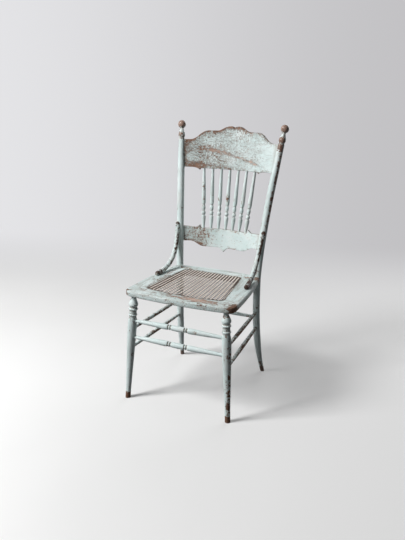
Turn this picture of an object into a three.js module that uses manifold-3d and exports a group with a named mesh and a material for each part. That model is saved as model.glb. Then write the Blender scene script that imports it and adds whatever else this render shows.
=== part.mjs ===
// A painted cane-seat dining chair: turned front legs, steam-bent back posts with ball finials,
// a scalloped crest rail over seven turned spindles, hip brackets and seven turned stretchers.
// Millimetres, +Z up, the front of the seat faces -Y, the origin is on the floor under the middle.

import * as THREE from 'three';
import { mergeVertices } from 'three/addons/utils/BufferGeometryUtils.js';
import Module from 'manifold-3d';

const wasm = await Module();
wasm.setup();

// Fits
const FIT = 0.3; // air between two pieces that touch
const BEAD_STEPS = 4; // cuts across a bead or a cove
const OVERCUT = 3; // how far a cutter runs past the face that it opens
const FAR = 2000; // reach of a cutter that passes the whole chair

// Seat frame
const SEAT_TOP = 450;
const SEAT_THICK = 23;
const SEAT_FRONT_Y = -260; // front edge, middle
const SEAT_BACK_Y = 146; // back edge, middle
const SEAT_FRONT_WIDTH = 450;
const SEAT_BACK_WIDTH = 380;
const SEAT_FRONT_BOW = 14; // how far the front corners lie behind the middle of the edge
const SEAT_BACK_BOW = 21;
const SEAT_SIDE_BOW = 7;
const SEAT_CORNER_R = 32;
const SEAT_EDGE_R = 6; // bull-nosed edge
const SEAT_EDGE_STEPS = 2;
const SEAT_STEPS = 4;

// Seat opening, cane and spline
const OPEN_FRONT_Y = -182;
const OPEN_BACK_Y = 78;
const OPEN_FRONT_WIDTH = 304;
const OPEN_BACK_WIDTH = 236;
const OPEN_FRONT_BOW = 12;
const OPEN_CORNER_R = 12;
const OPEN_STEPS = 2;
const CANE_LAP = 7; // cane that lies on the frame, inside the groove
const CANE_THICK = 1.6;
const CANE_PITCH = 28;
const CANE_GAP = 20; // across the corners of one gap
const CANE_GAP_SIDES = 4;
const CANE_WARP_RISE = 0.9; // strands that run front to back
const CANE_STRAND_WIDTH = 4;
const CANE_SKIRT = 1.2; // edge of the cane, turned down into the groove
const CANE_SKIRT_DROP = 4.5;
const SPLINE_WIDTH = 4;
const SPLINE_HEIGHT = 5.2;

// Seat frame joints
const DOWEL_R = 4;
const DOWEL_LENGTH = 48;
const DOWEL_EDGE = 15; // distance of a front dowel from the edges of the rail
const DOWEL_BACK_EDGE = 7.5; // the same at the back
const DOWEL_SIDES = 6;

// Back posts
const POST_R = 14.5;
const POST_FOOT_R = 8.5;
const POST_TOP_R = 12.8; // under the finial
const POST_HEIGHT = 1026; // centre of the finial ball
const POST_PROUD = 7; // post axis behind the corner of the seat
const POST_LOW_BEND = 385; // the post bends outwards and backwards below this height
const POST_HIGH_BEND = 430; // and above this one
const POST_FOOT_OUT = 18.5;
const POST_FOOT_BACK = 57;
const POST_TOP_OUT = 49.5;
const POST_TOP_BACK = 124;
const POST_LOW_POWER = 2.4; // how late the foot kicks out
const POST_HIGH_POWER = 1.4;
const POST_SIDES = 10;
const POST_STEPS = 12;
const POST_ARC_STEPS = 400; // spots along the post where its length is measured
const URN_STEPS = 5;
const BALL_STEPS = 5;
const FOOT_TAPER = 190; // height over which the post narrows to its foot

// Finials
const BALL_R = 16.5;
const BALL_NECK_R = 7;
const BALL_NECK_DROP = 19.5; // below the centre of the ball
const URN_R = 14;
const URN_DROP = 41;
const URN_GROOVE_R = 10.8;
const URN_GROOVE_DROP = 54;
const URN_LIP = 7; // from the groove down to the full post

// Front legs: heights count down from the underside of the seat
const LEG_INSET_SIDE = 35; // leg axis from the side edge of the seat
const LEG_INSET_FRONT = 31; // leg axis from the front edge
const LEG_SPLAY_SIDE = 25;
const LEG_SPLAY_FRONT = 27;
const LEG_TENON_R = 9;
const LEG_TENON = 15;
const LEG_NECK_R = 10.5;
const LEG_NECK = 13; // straight stretch under the seat
const LEG_BULB_R = 18.2;
const LEG_BULB_DROP = 34;
const LEG_WAIST_R = 13.5;
const LEG_WAIST_DROP = 45;
const LEG_RING_R = 18;
const LEG_RING_DROP = 52.5;
const LEG_RING_HALF = 5;
const LEG_COVE_R = 14.2;
const LEG_COVE_DROP = 65.5;
const LEG_BEAD_R = 17;
const LEG_BEAD_DROP = 76;
const LEG_BEAD_HALF = 4.5;
const LEG_GROOVE_R = 14;
const LEG_GROOVE_DROP = 87.5;
const LEG_SHOULDER_R = 16.2;
const LEG_SHOULDER_DROP = 94.5;
const LEG_BODY_R = 17.3;
const LEG_BODY_DROP = 150;
const LEG_ANKLE_R = 11;
const LEG_ANKLE_RISE = 65; // above the floor
const LEG_FOOT_R = 10.3;
const LEG_SIDES = 10;
const LEG_STEPS = 5;

// Stretchers
const TENON_STOP = 3; // end of a tenon, short of the axis of the leg
const FRONT_UPPER_Z = 327;
const FRONT_LOWER_Z = 260;
const FRONT_END_R = 6.4;
const FRONT_BOW_R = 9.2; // half way along the cone
const FRONT_CONE_R = 11; // widest part of the cone
const FRONT_CONE_TAIL = 14; // from the widest part to the inner end of the cone
const FRONT_CONE_END_R = 10;
const FRONT_CONE_STEPS = 6;
const FRONT_BARREL_R = 11.3;
const FRONT_BARREL_END_R = 10;
const FRONT_BARREL_HALF = 26;
const FRONT_GROOVE_R = 6.8;
const FRONT_GROOVE = 4.2; // on both sides of a bead
const FRONT_WALL = 1; // slant of the sides of a groove
const FRONT_BEAD_R = 10.2;
const FRONT_BEAD = 7.6;
const SIDE_UPPER_Z = 292;
const SIDE_LOWER_FRONT_Z = 214;
const SIDE_LOWER_BACK_Z = 222;
const SIDE_END_R = 6;
const SIDE_MID_R = 7.9;
const BACK_STRETCHER_Z = 268;
const BACK_STRETCHER_END_R = 6;
const BACK_STRETCHER_R = 8;
const STRETCHER_SIDES = 8;
const STRETCHER_STEPS = 6;

// Crest rail: heights count up from its lower edge
const CREST_DROP = 174; // from the centre of the finial ball down to the lower edge
const CREST_THICK = 12;
const CREST_SAG = 40; // how far the middle lies behind the posts
const CREST_END_LOW = 4;
const CREST_END_HIGH = 114.5;
const CREST_SHOULDER_HIGH = 151.5;
const CREST_SHOULDER_IN = 78;
const CREST_SHOULDER_OUT = 109;
const CREST_SWEEP_OUT = 185; // where the fall from the shoulder levels out
const CREST_LOBE_HIGH = 170.5;
const CREST_LOBE_X = 18;
const CREST_NOTCH = 9;
const CREST_CUSP_X = 129;
const CREST_CUSP_DROP = 6.5;
const CREST_CUSP_WIDTH = 11;
const CREST_SCALLOP_X = 168;

// Lower back rail: heights count up from the middle of its upper edge
const RAIL_RISE = 156; // from the seat to the middle of the upper edge
const RAIL_THICK = 12;
const RAIL_SAG = 54;
const RAIL_END_HIGH = 10;
const RAIL_END_LOW = -53;
const RAIL_CUSP_X = 109;
const RAIL_CUSP_HIGH = 13.5;
const RAIL_CUSP_WIDTH = 13;
const RAIL_DIP_X = 128;
const RAIL_DIP = 3;
const RAIL_BELLY = -76;
const RAIL_BELLY_X = 84;
const RAIL_SWEEP_OUT = 146;
const RAIL_DROP = -94;
const RAIL_DROP_HALF = 25;

// Joints of the two rails
const RAIL_TENON_THICK = 7;
const RAIL_TENON_SHOULDER = 12; // wood above and below the tenon
const RAIL_TENON_INSIDE = 16; // root of the tenon, inside the rail
const ARC_STEPS = 8;
const SCROLL_STEPS = 4;
const SWEEP_LEAD = 0.45; // how long an S-shaped sweep stays level, as a share of its width

// Spindles: heights count up from the lower rail, on a spindle of the clear length below
const SPINDLE_COUNT = 7;
const SPINDLE_CLEAR = 248;
const SPINDLE_PITCH_HIGH = 38;
const SPINDLE_PITCH_LOW = 31.4;
const SPINDLE_TENON = 12;
const SPINDLE_TENON_R = 3.4;
const SPINDLE_SHOULDER = 0.9; // shoulder of the spindle, off the slanting edge of the rail
const SPINDLE_FOOT_R = 4.7;
const SPINDLE_TIP_R = 5.2;
const SPINDLE_VASE_R = 8.8;
const SPINDLE_VASE_Z = 46;
const SPINDLE_NECK_R = 4.9;
const SPINDLE_NECK_Z = 55;
const SPINDLE_BEAD_R = 8.6;
const SPINDLE_BEAD_TOP = 73;
const SPINDLE_COLLAR_R = 7.9;
const SPINDLE_COLLAR_TOP = 99;
const SPINDLE_SWELL_R = 8.5;
const SPINDLE_SWELL_Z = 118;
const SPINDLE_SIDES = 8;
const SPINDLE_STEPS = 4;

// Hip brackets
const BRACKET_R = 9.5;
const BRACKET_TIP_R = 4.5;
const BRACKET_TIP = 9; // length of the rounded ends
const BRACKET_TIP_STEPS = 3;
const BRACKET_RISE = 184; // from the seat to the upper end
const BRACKET_TOP_OUT = 6; // from the axis of the post
const BRACKET_TOP_FRONT = 13;
const BRACKET_REACH = 180; // forwards from the post, along the seat
const BRACKET_TIP_OUT = 18; // from the axis of the post
const BRACKET_FLAT = 2; // planed off where it lies on the seat
const BRACKET_FALL = 114; // handles of its curve
const BRACKET_FALL_FRONT = 20;
const BRACKET_RUN = 128;
const BRACKET_OUT = 3; // belly of the curve, from the axis of the post
const BRACKET_SIDES = 8;
const BRACKET_STEPS = 7;

// Screws
const SCREW_R = 2.2;
const SCREW_HEAD_R = 4.2;
const SCREW_HEAD = 3;
const SCREW_LENGTH = 26;
const SCREW_SUNK = 2; // head below the surface of the wood
const SCREW_SIDES = 6;
const BRACKET_SCREW_FROM_END = 17;
const POST_SCREW_LENGTH = 46;

// Paint, wood, cane and steel
const PAINT = { color: 0xd2e3dd, roughness: 0.62, metalness: 0 };
const WORN_PAINT = { color: 0xb9b9ab, roughness: 0.72, metalness: 0 };
const CANE = { color: 0xb29e93, roughness: 0.8, metalness: 0 };
const BARE_WOOD = { color: 0x7d5238, roughness: 0.8, metalness: 0 };
const OLD_STEEL = { color: 0x4a3a31, roughness: 0.6, metalness: 0.8 };

const SEAT_UNDER = SEAT_TOP - SEAT_THICK;
const CREST_Z = POST_HEIGHT - CREST_DROP;
const RAIL_Z = SEAT_TOP + RAIL_RISE;
const BRACKET_TOP_Z = SEAT_TOP + BRACKET_RISE;
const SEAT_CORNER_Y = SEAT_BACK_Y - SEAT_BACK_BOW;
const SIDES = { left: -1, right: 1 };

const chair = new THREE.Group();

// Solids and geometries

function solidOf(geometry) {
  const bare = geometry.clone();
  bare.deleteAttribute('normal');
  bare.deleteAttribute('uv');
  const welded = mergeVertices(bare);
  const corners = welded.index.array;
  const faces = [];
  for (let i = 0; i < corners.length; i += 3) {
    const [a, b, c] = corners.slice(i, i + 3);
    if (a !== b && b !== c && c !== a) {
      faces.push(a, b, c);
    }
  }
  const mesh = new wasm.Mesh({
    numProp: 3,
    vertProperties: Float32Array.from(welded.attributes.position.array),
    triVerts: Uint32Array.from(faces),
  });
  return new wasm.Manifold(mesh);
}

function geometryOf(solid) {
  const mesh = solid.getMesh();
  const geometry = new THREE.BufferGeometry();
  geometry.setAttribute('position', new THREE.Float32BufferAttribute(mesh.vertProperties, 3));
  geometry.setIndex(Array.from(mesh.triVerts));
  geometry.computeVertexNormals();
  return geometry;
}

function place(name, geometry, look, parent = chair) {
  const mesh = new THREE.Mesh(geometry, new THREE.MeshStandardMaterial(look));
  mesh.name = name;
  parent.add(mesh);
  return mesh;
}

// The solid of a mesh in the frame of the chair.
function placedSolid(mesh) {
  mesh.updateWorldMatrix(true, false);
  return solidOf(mesh.geometry.clone().applyMatrix4(mesh.matrixWorld));
}

// Reworks a mesh in the frame of the chair.
function rework(mesh, work) {
  const solid = work(placedSolid(mesh));
  mesh.geometry = geometryOf(solid).applyMatrix4(mesh.matrixWorld.clone().invert());
}

function carve(mesh, cutters) {
  rework(mesh, (solid) => cutters.reduce((rest, cutter) => rest.subtract(cutter), solid));
}

function block(from, to) {
  const size = new THREE.Vector3().subVectors(to, from);
  const centre = new THREE.Vector3().addVectors(from, to).multiplyScalar(0.5);
  return new THREE.BoxGeometry(size.x, size.y, size.z).translate(centre.x, centre.y, centre.z);
}

// Turning: a profile is a list of [radius, height] from the bottom to the top of a piece.

function turned(profile, sides) {
  const [first] = profile;
  const last = profile[profile.length - 1];
  const outline = [[0, first[1]], ...profile, [0, last[1]]];
  const points = outline.map(([radius, height]) => new THREE.Vector2(radius, height));
  return new THREE.LatheGeometry(points, sides).rotateX(Math.PI / 2);
}

function grown(profile) {
  const [first] = profile;
  const last = profile[profile.length - 1];
  const skin = profile.map(([radius, height]) => [radius + FIT, height]);
  return [[first[0] + FIT, first[1] - FIT], ...skin, [last[0] + FIT, last[1] + FIT]];
}

// A bead (or a cove, where the crown is the smaller radius) between two heights.
function bead(low, high, edge, crown, steps = BEAD_STEPS) {
  const points = [];
  for (let i = 0; i <= steps; i += 1) {
    const share = i / steps;
    const radius = edge + (crown - edge) * Math.sin(Math.PI * share);
    points.push([radius, low + (high - low) * share]);
  }
  return points;
}

// A long flowing cut through a few sizes.
function flowing(sizes, steps) {
  const knots = sizes.map(([radius, height]) => new THREE.Vector2(radius, height));
  return new THREE.SplineCurve(knots).getPoints(steps).map((point) => [point.x, point.y]);
}

function reversed(profile, length) {
  return profile.map(([radius, height]) => [radius, length - height]).reverse();
}

// Stands a turned piece on a line, with its lower end at the first point.
function stand(mesh, from, to) {
  const along = new THREE.Vector3().subVectors(to, from).normalize();
  mesh.position.copy(from);
  mesh.quaternion.setFromUnitVectors(new THREE.Vector3(0, 0, 1), along);
  return mesh;
}

function standingSolid(geometry, from, to) {
  return placedSolid(stand(new THREE.Mesh(geometry), from, to));
}

// Bends a straight turned piece along a curve, as steam does; heights become lengths along it.
function steamBend(geometry, curve) {
  const length = curve.getLength();
  const position = geometry.attributes.position;
  const spot = new THREE.Vector3();
  const across = new THREE.Vector3();
  const ahead = new THREE.Vector3();
  for (let i = 0; i < position.count; i += 1) {
    spot.fromBufferAttribute(position, i);
    const share = THREE.MathUtils.clamp(spot.z / length, 0, 1);
    const axis = curve.getPointAt(share);
    const tangent = curve.getTangentAt(share);
    across.set(1, 0, 0).addScaledVector(tangent, -tangent.x).normalize();
    ahead.crossVectors(tangent, across);
    axis.addScaledVector(tangent, spot.z - share * length);
    axis.addScaledVector(across, spot.x).addScaledVector(ahead, spot.y);
    position.setXYZ(i, axis.x, axis.y, axis.z);
  }
  return geometry;
}

// Outlines

function mirroredShape(rightHalf) {
  const leftHalf = rightHalf.map((point) => new THREE.Vector2(-point.x, point.y)).reverse();
  return new THREE.Shape([...rightHalf, ...leftHalf]);
}

function uprightPrism(shape, front, back) {
  const depth = back - front;
  const geometry = new THREE.ExtrudeGeometry(shape, { depth, bevelEnabled: false });
  return geometry.rotateX(Math.PI / 2).translate(0, back, 0);
}

function flatPrism(shape, low, high) {
  const depth = high - low;
  return new THREE.ExtrudeGeometry(shape, { depth, bevelEnabled: false }).translate(0, 0, low);
}

// Back posts

class PostCurve extends THREE.Curve {
  constructor(side) {
    super();
    this.side = side;
    this.arcLengthDivisions = POST_ARC_STEPS;
  }

  atHeight(z) {
    const low = Math.max(0, (POST_LOW_BEND - z) / POST_LOW_BEND) ** POST_LOW_POWER;
    const rise = (z - POST_HIGH_BEND) / (POST_HEIGHT - POST_HIGH_BEND);
    const high = Math.max(0, rise) ** POST_HIGH_POWER;
    const out = POST_FOOT_OUT * low + POST_TOP_OUT * high;
    const back = POST_FOOT_BACK * low + POST_TOP_BACK * high;
    const x = SEAT_BACK_WIDTH / 2 - POST_R + out;
    return new THREE.Vector3(this.side * x, SEAT_CORNER_Y + POST_PROUD + back, z);
  }

  getPoint(share) {
    return this.atHeight(share * POST_HEIGHT);
  }

  // Length along the post up to a height; past its ends the post runs straight on.
  lengthTo(z) {
    const inside = THREE.MathUtils.clamp(z, 0, POST_HEIGHT);
    const lengths = this.getLengths();
    const step = (inside / POST_HEIGHT) * (lengths.length - 1);
    const whole = Math.min(Math.floor(step), lengths.length - 2);
    const part = (lengths[whole + 1] - lengths[whole]) * (step - whole);
    return lengths[whole] + part + z - inside;
  }

  // How far the post leans back for each unit of height, between two heights.
  leanBetween(low, high) {
    const run = this.atHeight(high).sub(this.atHeight(low));
    return run.y / run.z;
  }
}

function postProfile() {
  const lip = POST_HEIGHT - URN_GROOVE_DROP - URN_LIP;
  const shaft = [];
  for (let i = 0; i <= POST_STEPS; i += 1) {
    const height = -OVERCUT + (lip + OVERCUT) * (i / POST_STEPS);
    const foot = THREE.MathUtils.smoothstep(height, 0, FOOT_TAPER);
    const top = THREE.MathUtils.smoothstep(height, CREST_Z, lip);
    const radius = POST_FOOT_R + (POST_R - POST_FOOT_R) * foot - (POST_R - POST_TOP_R) * top;
    shaft.push([radius, height]);
  }
  const urn = [
    [URN_GROOVE_R, POST_HEIGHT - URN_GROOVE_DROP],
    [URN_R, POST_HEIGHT - URN_DROP],
    [BALL_NECK_R, POST_HEIGHT - BALL_NECK_DROP],
  ];
  const ball = [];
  const first = -Math.acos(BALL_NECK_R / BALL_R);
  for (let i = 0; i < BALL_STEPS; i += 1) {
    const angle = first + (Math.PI / 2 - first) * (i / BALL_STEPS);
    ball.push([BALL_R * Math.cos(angle), POST_HEIGHT + BALL_R * Math.sin(angle)]);
  }
  return [...shaft, ...flowing(urn, URN_STEPS), ...ball];
}

function bentPost(curve, profile) {
  const lengths = profile.map(([radius, height]) => [radius, curve.lengthTo(height)]);
  return steamBend(turned(lengths, POST_SIDES), curve);
}

const underFloor = solidOf(
  block(new THREE.Vector3(-FAR, -FAR, -FAR), new THREE.Vector3(FAR, FAR, 0)),
);
const posts = {};
for (const [name, side] of Object.entries(SIDES)) {
  const curve = new PostCurve(side);
  const mesh = place(`back_post_${name}`, bentPost(curve, postProfile()), PAINT);
  carve(mesh, [underFloor]);
  const coat = solidOf(bentPost(curve, grown(postProfile())));
  posts[name] = { mesh, curve, coat, cuts: [] };
}
const postCoats = Object.values(posts).map((post) => post.coat);

// Front legs

function legAxis(side, z) {
  const fall = (SEAT_UNDER - z) / SEAT_UNDER;
  const x = SEAT_FRONT_WIDTH / 2 - LEG_INSET_SIDE + LEG_SPLAY_SIDE * fall;
  const y = SEAT_FRONT_Y + LEG_INSET_FRONT - LEG_SPLAY_FRONT * fall;
  return new THREE.Vector3(side * x, y, z);
}

function legProfile(length) {
  const body = [
    [LEG_FOOT_R, 0],
    [LEG_ANKLE_R, LEG_ANKLE_RISE],
    [LEG_BODY_R, length - LEG_BODY_DROP],
    [LEG_SHOULDER_R, length - LEG_SHOULDER_DROP],
  ];
  const bulb = [
    [LEG_WAIST_R, length - LEG_WAIST_DROP],
    [LEG_BULB_R, length - LEG_BULB_DROP],
    [LEG_NECK_R, length - LEG_NECK],
    [LEG_NECK_R, length],
  ];
  const lowBead = length - LEG_BEAD_DROP;
  const ring = length - LEG_RING_DROP;
  return [
    [LEG_FOOT_R, -OVERCUT],
    ...flowing(body, LEG_STEPS),
    [LEG_GROOVE_R, length - LEG_GROOVE_DROP],
    ...bead(lowBead - LEG_BEAD_HALF, lowBead + LEG_BEAD_HALF, LEG_COVE_R, LEG_BEAD_R),
    [LEG_COVE_R, length - LEG_COVE_DROP],
    ...bead(ring - LEG_RING_HALF, ring + LEG_RING_HALF, LEG_COVE_R, LEG_RING_R),
    ...flowing(bulb, LEG_STEPS),
    [LEG_NECK_R, length + OVERCUT],
  ];
}

const overSeat = solidOf(
  block(new THREE.Vector3(-FAR, -FAR, SEAT_UNDER - FIT), new THREE.Vector3(FAR, FAR, FAR)),
);
const legs = {};
for (const [name, side] of Object.entries(SIDES)) {
  const foot = legAxis(side, 0);
  const top = legAxis(side, SEAT_UNDER);
  const length = foot.distanceTo(top);
  const mesh = place(`front_leg_${name}`, turned(legProfile(length), LEG_SIDES), PAINT);
  stand(mesh, foot, top);
  const tenon = [
    [LEG_TENON_R, length - LEG_TENON],
    [LEG_TENON_R, length + LEG_TENON],
  ];
  const tenonSolid = standingSolid(turned(tenon, LEG_SIDES), foot, top);
  const socket = standingSolid(turned(grown(tenon), LEG_SIDES), foot, top);
  rework(mesh, (solid) => solid.subtract(overSeat).subtract(underFloor).add(tenonSolid));
  legs[name] = { mesh, side, socket, cuts: [] };
}

// Stretchers: each runs between the axes of two uprights and is let into both.

function frontProfile(length) {
  const middle = length / 2;
  const barrel = middle - FRONT_BARREL_HALF;
  const beadHigh = barrel - FRONT_GROOVE;
  const beadLow = beadHigh - FRONT_BEAD;
  const cone = beadLow - FRONT_GROOVE;
  const root = LEG_BODY_R - TENON_STOP;
  const taper = [
    [FRONT_END_R, root],
    [FRONT_BOW_R, (root + cone) / 2],
    [FRONT_CONE_R, cone - FRONT_CONE_TAIL],
    [FRONT_CONE_END_R, cone],
  ];
  const half = [
    [FRONT_END_R, 0],
    ...flowing(taper, FRONT_CONE_STEPS),
    [FRONT_GROOVE_R, cone + FRONT_WALL],
    ...bead(beadLow, beadHigh, FRONT_GROOVE_R, FRONT_BEAD_R),
    [FRONT_GROOVE_R, barrel - FRONT_WALL],
    [FRONT_BARREL_END_R, barrel],
  ];
  return [...half, [FRONT_BARREL_R, middle], ...reversed(half, length)];
}

const plainProfile = (endRadius, middleRadius) => (length) =>
  bead(0, length, endRadius, middleRadius, STRETCHER_STEPS);

function stretcher(name, profileOf, from, to, uprights) {
  const along = new THREE.Vector3().subVectors(to, from).setLength(TENON_STOP);
  const start = from.clone().add(along);
  const end = to.clone().sub(along);
  const profile = profileOf(start.distanceTo(end));
  const mesh = place(name, turned(profile, STRETCHER_SIDES), PAINT);
  stand(mesh, start, end);
  const socket = standingSolid(turned(grown(profile), STRETCHER_SIDES), start, end);
  uprights.forEach((upright) => upright.cuts.push(socket));
}

for (const [name, z] of [['upper', FRONT_UPPER_Z], ['lower', FRONT_LOWER_Z]]) {
  const from = legAxis(SIDES.left, z);
  const to = legAxis(SIDES.right, z);
  stretcher(`front_stretcher_${name}`, frontProfile, from, to, [legs.left, legs.right]);
}
const sideProfile = plainProfile(SIDE_END_R, SIDE_MID_R);
for (const [name, side] of Object.entries(SIDES)) {
  const ends = [legs[name], posts[name]];
  const { curve } = posts[name];
  const upperFrom = legAxis(side, SIDE_UPPER_Z);
  const upperTo = curve.atHeight(SIDE_UPPER_Z);
  stretcher(`side_stretcher_${name}_upper`, sideProfile, upperFrom, upperTo, ends);
  const lowerFrom = legAxis(side, SIDE_LOWER_FRONT_Z);
  const lowerTo = curve.atHeight(SIDE_LOWER_BACK_Z);
  stretcher(`side_stretcher_${name}_lower`, sideProfile, lowerFrom, lowerTo, ends);
}
stretcher(
  'back_stretcher',
  plainProfile(BACK_STRETCHER_END_R, BACK_STRETCHER_R),
  posts.left.curve.atHeight(BACK_STRETCHER_Z),
  posts.right.curve.atHeight(BACK_STRETCHER_Z),
  [posts.left, posts.right],
);

// Rails of the back: boards bent to an arc, sawn to a scalloped outline and tenoned into the posts.

class BackRail {
  constructor(name, { z, low, high, thick, sag, outline }) {
    const { curve } = posts.right;
    this.z = z;
    this.low = low;
    this.high = high;
    this.thick = thick;
    this.span = curve.atHeight(z + (low + high) / 2).x;
    this.radius = (this.span ** 2 + sag ** 2) / (2 * sag);
    this.centre = sag - this.radius;
    this.lean = curve.leanBetween(z + low, z + high);
    const half = outline(this.reach(low), this.reach(high));
    this.mesh = place(name, geometryOf(this.board(mirroredShape(half), thick)), WORN_PAINT);
    this.mesh.position.set(0, curve.atHeight(z).y, z);
    rework(this.mesh, (solid) => {
      const coped = postCoats.reduce((rest, coat) => rest.subtract(coat), solid);
      return this.tenons(0).reduce((whole, tenon) => whole.add(tenon), coped);
    });
    Object.values(posts).forEach((post) => post.cuts.push(...this.tenons(FIT)));
  }

  // Half the distance between the axes of the posts at a height of the rail.
  reach(height) {
    return posts.right.curve.atHeight(this.z + height).x;
  }

  // Depth of the middle of the board behind the posts.
  depthAt(x) {
    return this.centre + Math.sqrt(this.radius ** 2 - x ** 2);
  }

  // A bent board that leans back with the posts, cut to an outline that is seen from the front.
  board(shape, thick) {
    const sweep = Math.asin((this.span + POST_R) / this.radius);
    const from = Math.PI / 2 - sweep;
    const to = Math.PI / 2 + sweep;
    const arc = new THREE.Shape();
    arc.absarc(0, this.centre, this.radius + thick / 2, from, to, false);
    arc.absarc(0, this.centre, this.radius - thick / 2, to, from, true);
    const slab = new THREE.ExtrudeGeometry(arc, {
      depth: 2 * FAR,
      bevelEnabled: false,
      curveSegments: ARC_STEPS,
    });
    slab.translate(0, 0, -FAR);
    slab.applyMatrix4(new THREE.Matrix4().makeShear(0, 0, 0, 0, 0, this.lean));
    return solidOf(slab).intersect(solidOf(uprightPrism(shape, -FAR, FAR)));
  }

  tenons(grow) {
    const low = this.low + RAIL_TENON_SHOULDER - grow;
    const high = this.high - RAIL_TENON_SHOULDER + grow;
    const root = this.span - POST_R - RAIL_TENON_INSIDE;
    const right = [
      new THREE.Vector2(root, low),
      new THREE.Vector2(this.reach(low) + grow, low),
      new THREE.Vector2(this.reach(high) + grow, high),
      new THREE.Vector2(root, high),
    ];
    const left = right.map((point) => new THREE.Vector2(-point.x, point.y));
    return [right, left].map((corners) => {
      const board = this.board(new THREE.Shape(corners), RAIL_TENON_THICK + 2 * grow);
      const geometry = geometryOf(board).applyMatrix4(this.mesh.matrixWorld);
      return solidOf(geometry);
    });
  }

  // A point on the middle of the board, in the frame of the chair.
  spot(x, height) {
    const depth = this.depthAt(x) + this.lean * height;
    return this.mesh.localToWorld(new THREE.Vector3(x, depth, height));
  }
}

// An S-shaped stretch of an outline that leaves and arrives level.
function sweepTo(path, x, y) {
  const from = path.currentPoint;
  const lead = (x - from.x) * SWEEP_LEAD;
  path.bezierCurveTo(from.x + lead, from.y, x - lead, y, x, y);
}

function crestOutline(lowReach, highReach) {
  const half = new THREE.Path();
  half.moveTo(0, CREST_LOBE_HIGH - CREST_NOTCH);
  half.quadraticCurveTo(0, CREST_LOBE_HIGH, CREST_LOBE_X, CREST_LOBE_HIGH);
  sweepTo(half, CREST_SHOULDER_IN, CREST_SHOULDER_HIGH);
  half.lineTo(CREST_SHOULDER_OUT, CREST_SHOULDER_HIGH);
  sweepTo(half, CREST_SWEEP_OUT, CREST_END_HIGH);
  half.lineTo(highReach, CREST_END_HIGH);
  half.lineTo(lowReach, CREST_END_LOW);
  half.lineTo(CREST_SCALLOP_X, CREST_END_LOW);
  half.quadraticCurveTo(CREST_CUSP_X + CREST_CUSP_WIDTH, CREST_END_LOW, CREST_CUSP_X, -CREST_CUSP_DROP);
  half.quadraticCurveTo(CREST_CUSP_X, 0, CREST_CUSP_X - CREST_CUSP_WIDTH, 0);
  half.lineTo(0, 0);
  return half.getPoints(SCROLL_STEPS);
}

function lowerRailOutline(lowReach, highReach) {
  const half = new THREE.Path();
  half.moveTo(0, 0);
  half.lineTo(RAIL_CUSP_X - RAIL_CUSP_WIDTH, 0);
  half.quadraticCurveTo(RAIL_CUSP_X, 0, RAIL_CUSP_X, RAIL_CUSP_HIGH);
  half.quadraticCurveTo(RAIL_CUSP_X + RAIL_CUSP_WIDTH, RAIL_DIP, RAIL_DIP_X, RAIL_DIP);
  half.lineTo(highReach, RAIL_END_HIGH);
  half.lineTo(lowReach, RAIL_END_LOW);
  half.lineTo(RAIL_SWEEP_OUT, RAIL_END_LOW);
  sweepTo(half, RAIL_BELLY_X, RAIL_BELLY);
  half.lineTo(RAIL_DROP_HALF, RAIL_BELLY);
  half.quadraticCurveTo(RAIL_DROP_HALF / 2, RAIL_BELLY, 0, RAIL_DROP);
  return half.getPoints(SCROLL_STEPS);
}

const crest = new BackRail('crest_rail', {
  z: CREST_Z,
  low: CREST_END_LOW,
  high: CREST_END_HIGH,
  thick: CREST_THICK,
  sag: CREST_SAG,
  outline: crestOutline,
});
const lowerRail = new BackRail('lower_back_rail', {
  z: RAIL_Z,
  low: RAIL_END_LOW,
  high: RAIL_END_HIGH,
  thick: RAIL_THICK,
  sag: RAIL_SAG,
  outline: lowerRailOutline,
});

// Spindles

function spindleProfile(length) {
  const top = length - SPINDLE_TENON;
  const scale = (top - SPINDLE_TENON) / SPINDLE_CLEAR;
  const from = (height) => SPINDLE_TENON + height * scale;
  const vase = [
    [SPINDLE_FOOT_R, from(SPINDLE_SHOULDER)],
    [SPINDLE_VASE_R, from(SPINDLE_VASE_Z)],
    [SPINDLE_NECK_R, from(SPINDLE_NECK_Z)],
  ];
  const swell = [
    [SPINDLE_NECK_R, from(SPINDLE_COLLAR_TOP)],
    [SPINDLE_SWELL_R, from(SPINDLE_SWELL_Z)],
    [SPINDLE_TIP_R, top - SPINDLE_SHOULDER],
  ];
  return [
    [SPINDLE_TENON_R, 0],
    [SPINDLE_TENON_R, from(SPINDLE_SHOULDER)],
    ...flowing(vase, SPINDLE_STEPS),
    ...bead(from(SPINDLE_NECK_Z), from(SPINDLE_BEAD_TOP), SPINDLE_NECK_R, SPINDLE_BEAD_R).slice(1),
    ...bead(from(SPINDLE_BEAD_TOP), from(SPINDLE_COLLAR_TOP), SPINDLE_NECK_R, SPINDLE_COLLAR_R).slice(1),
    ...flowing(swell, SPINDLE_STEPS).slice(1),
    [SPINDLE_TENON_R, top - SPINDLE_SHOULDER],
    [SPINDLE_TENON_R, length],
  ];
}

const spindleHoles = [];
for (let i = 0; i < SPINDLE_COUNT; i += 1) {
  const step = i - (SPINDLE_COUNT - 1) / 2;
  const from = lowerRail.spot(step * SPINDLE_PITCH_LOW, -SPINDLE_TENON);
  const to = crest.spot(step * SPINDLE_PITCH_HIGH, SPINDLE_TENON);
  const profile = spindleProfile(from.distanceTo(to));
  const mesh = place(`spindle_${i + 1}`, turned(profile, SPINDLE_SIDES), PAINT);
  stand(mesh, from, to);
  spindleHoles.push(standingSolid(turned(grown(profile), SPINDLE_SIDES), from, to));
}
carve(crest.mesh, spindleHoles);
carve(lowerRail.mesh, spindleHoles);

// Seat frame

function parabolaTo(path, x, vertexY, y) {
  path.quadraticCurveTo((path.currentPoint.x + x) / 2, vertexY, x, y);
}

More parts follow.
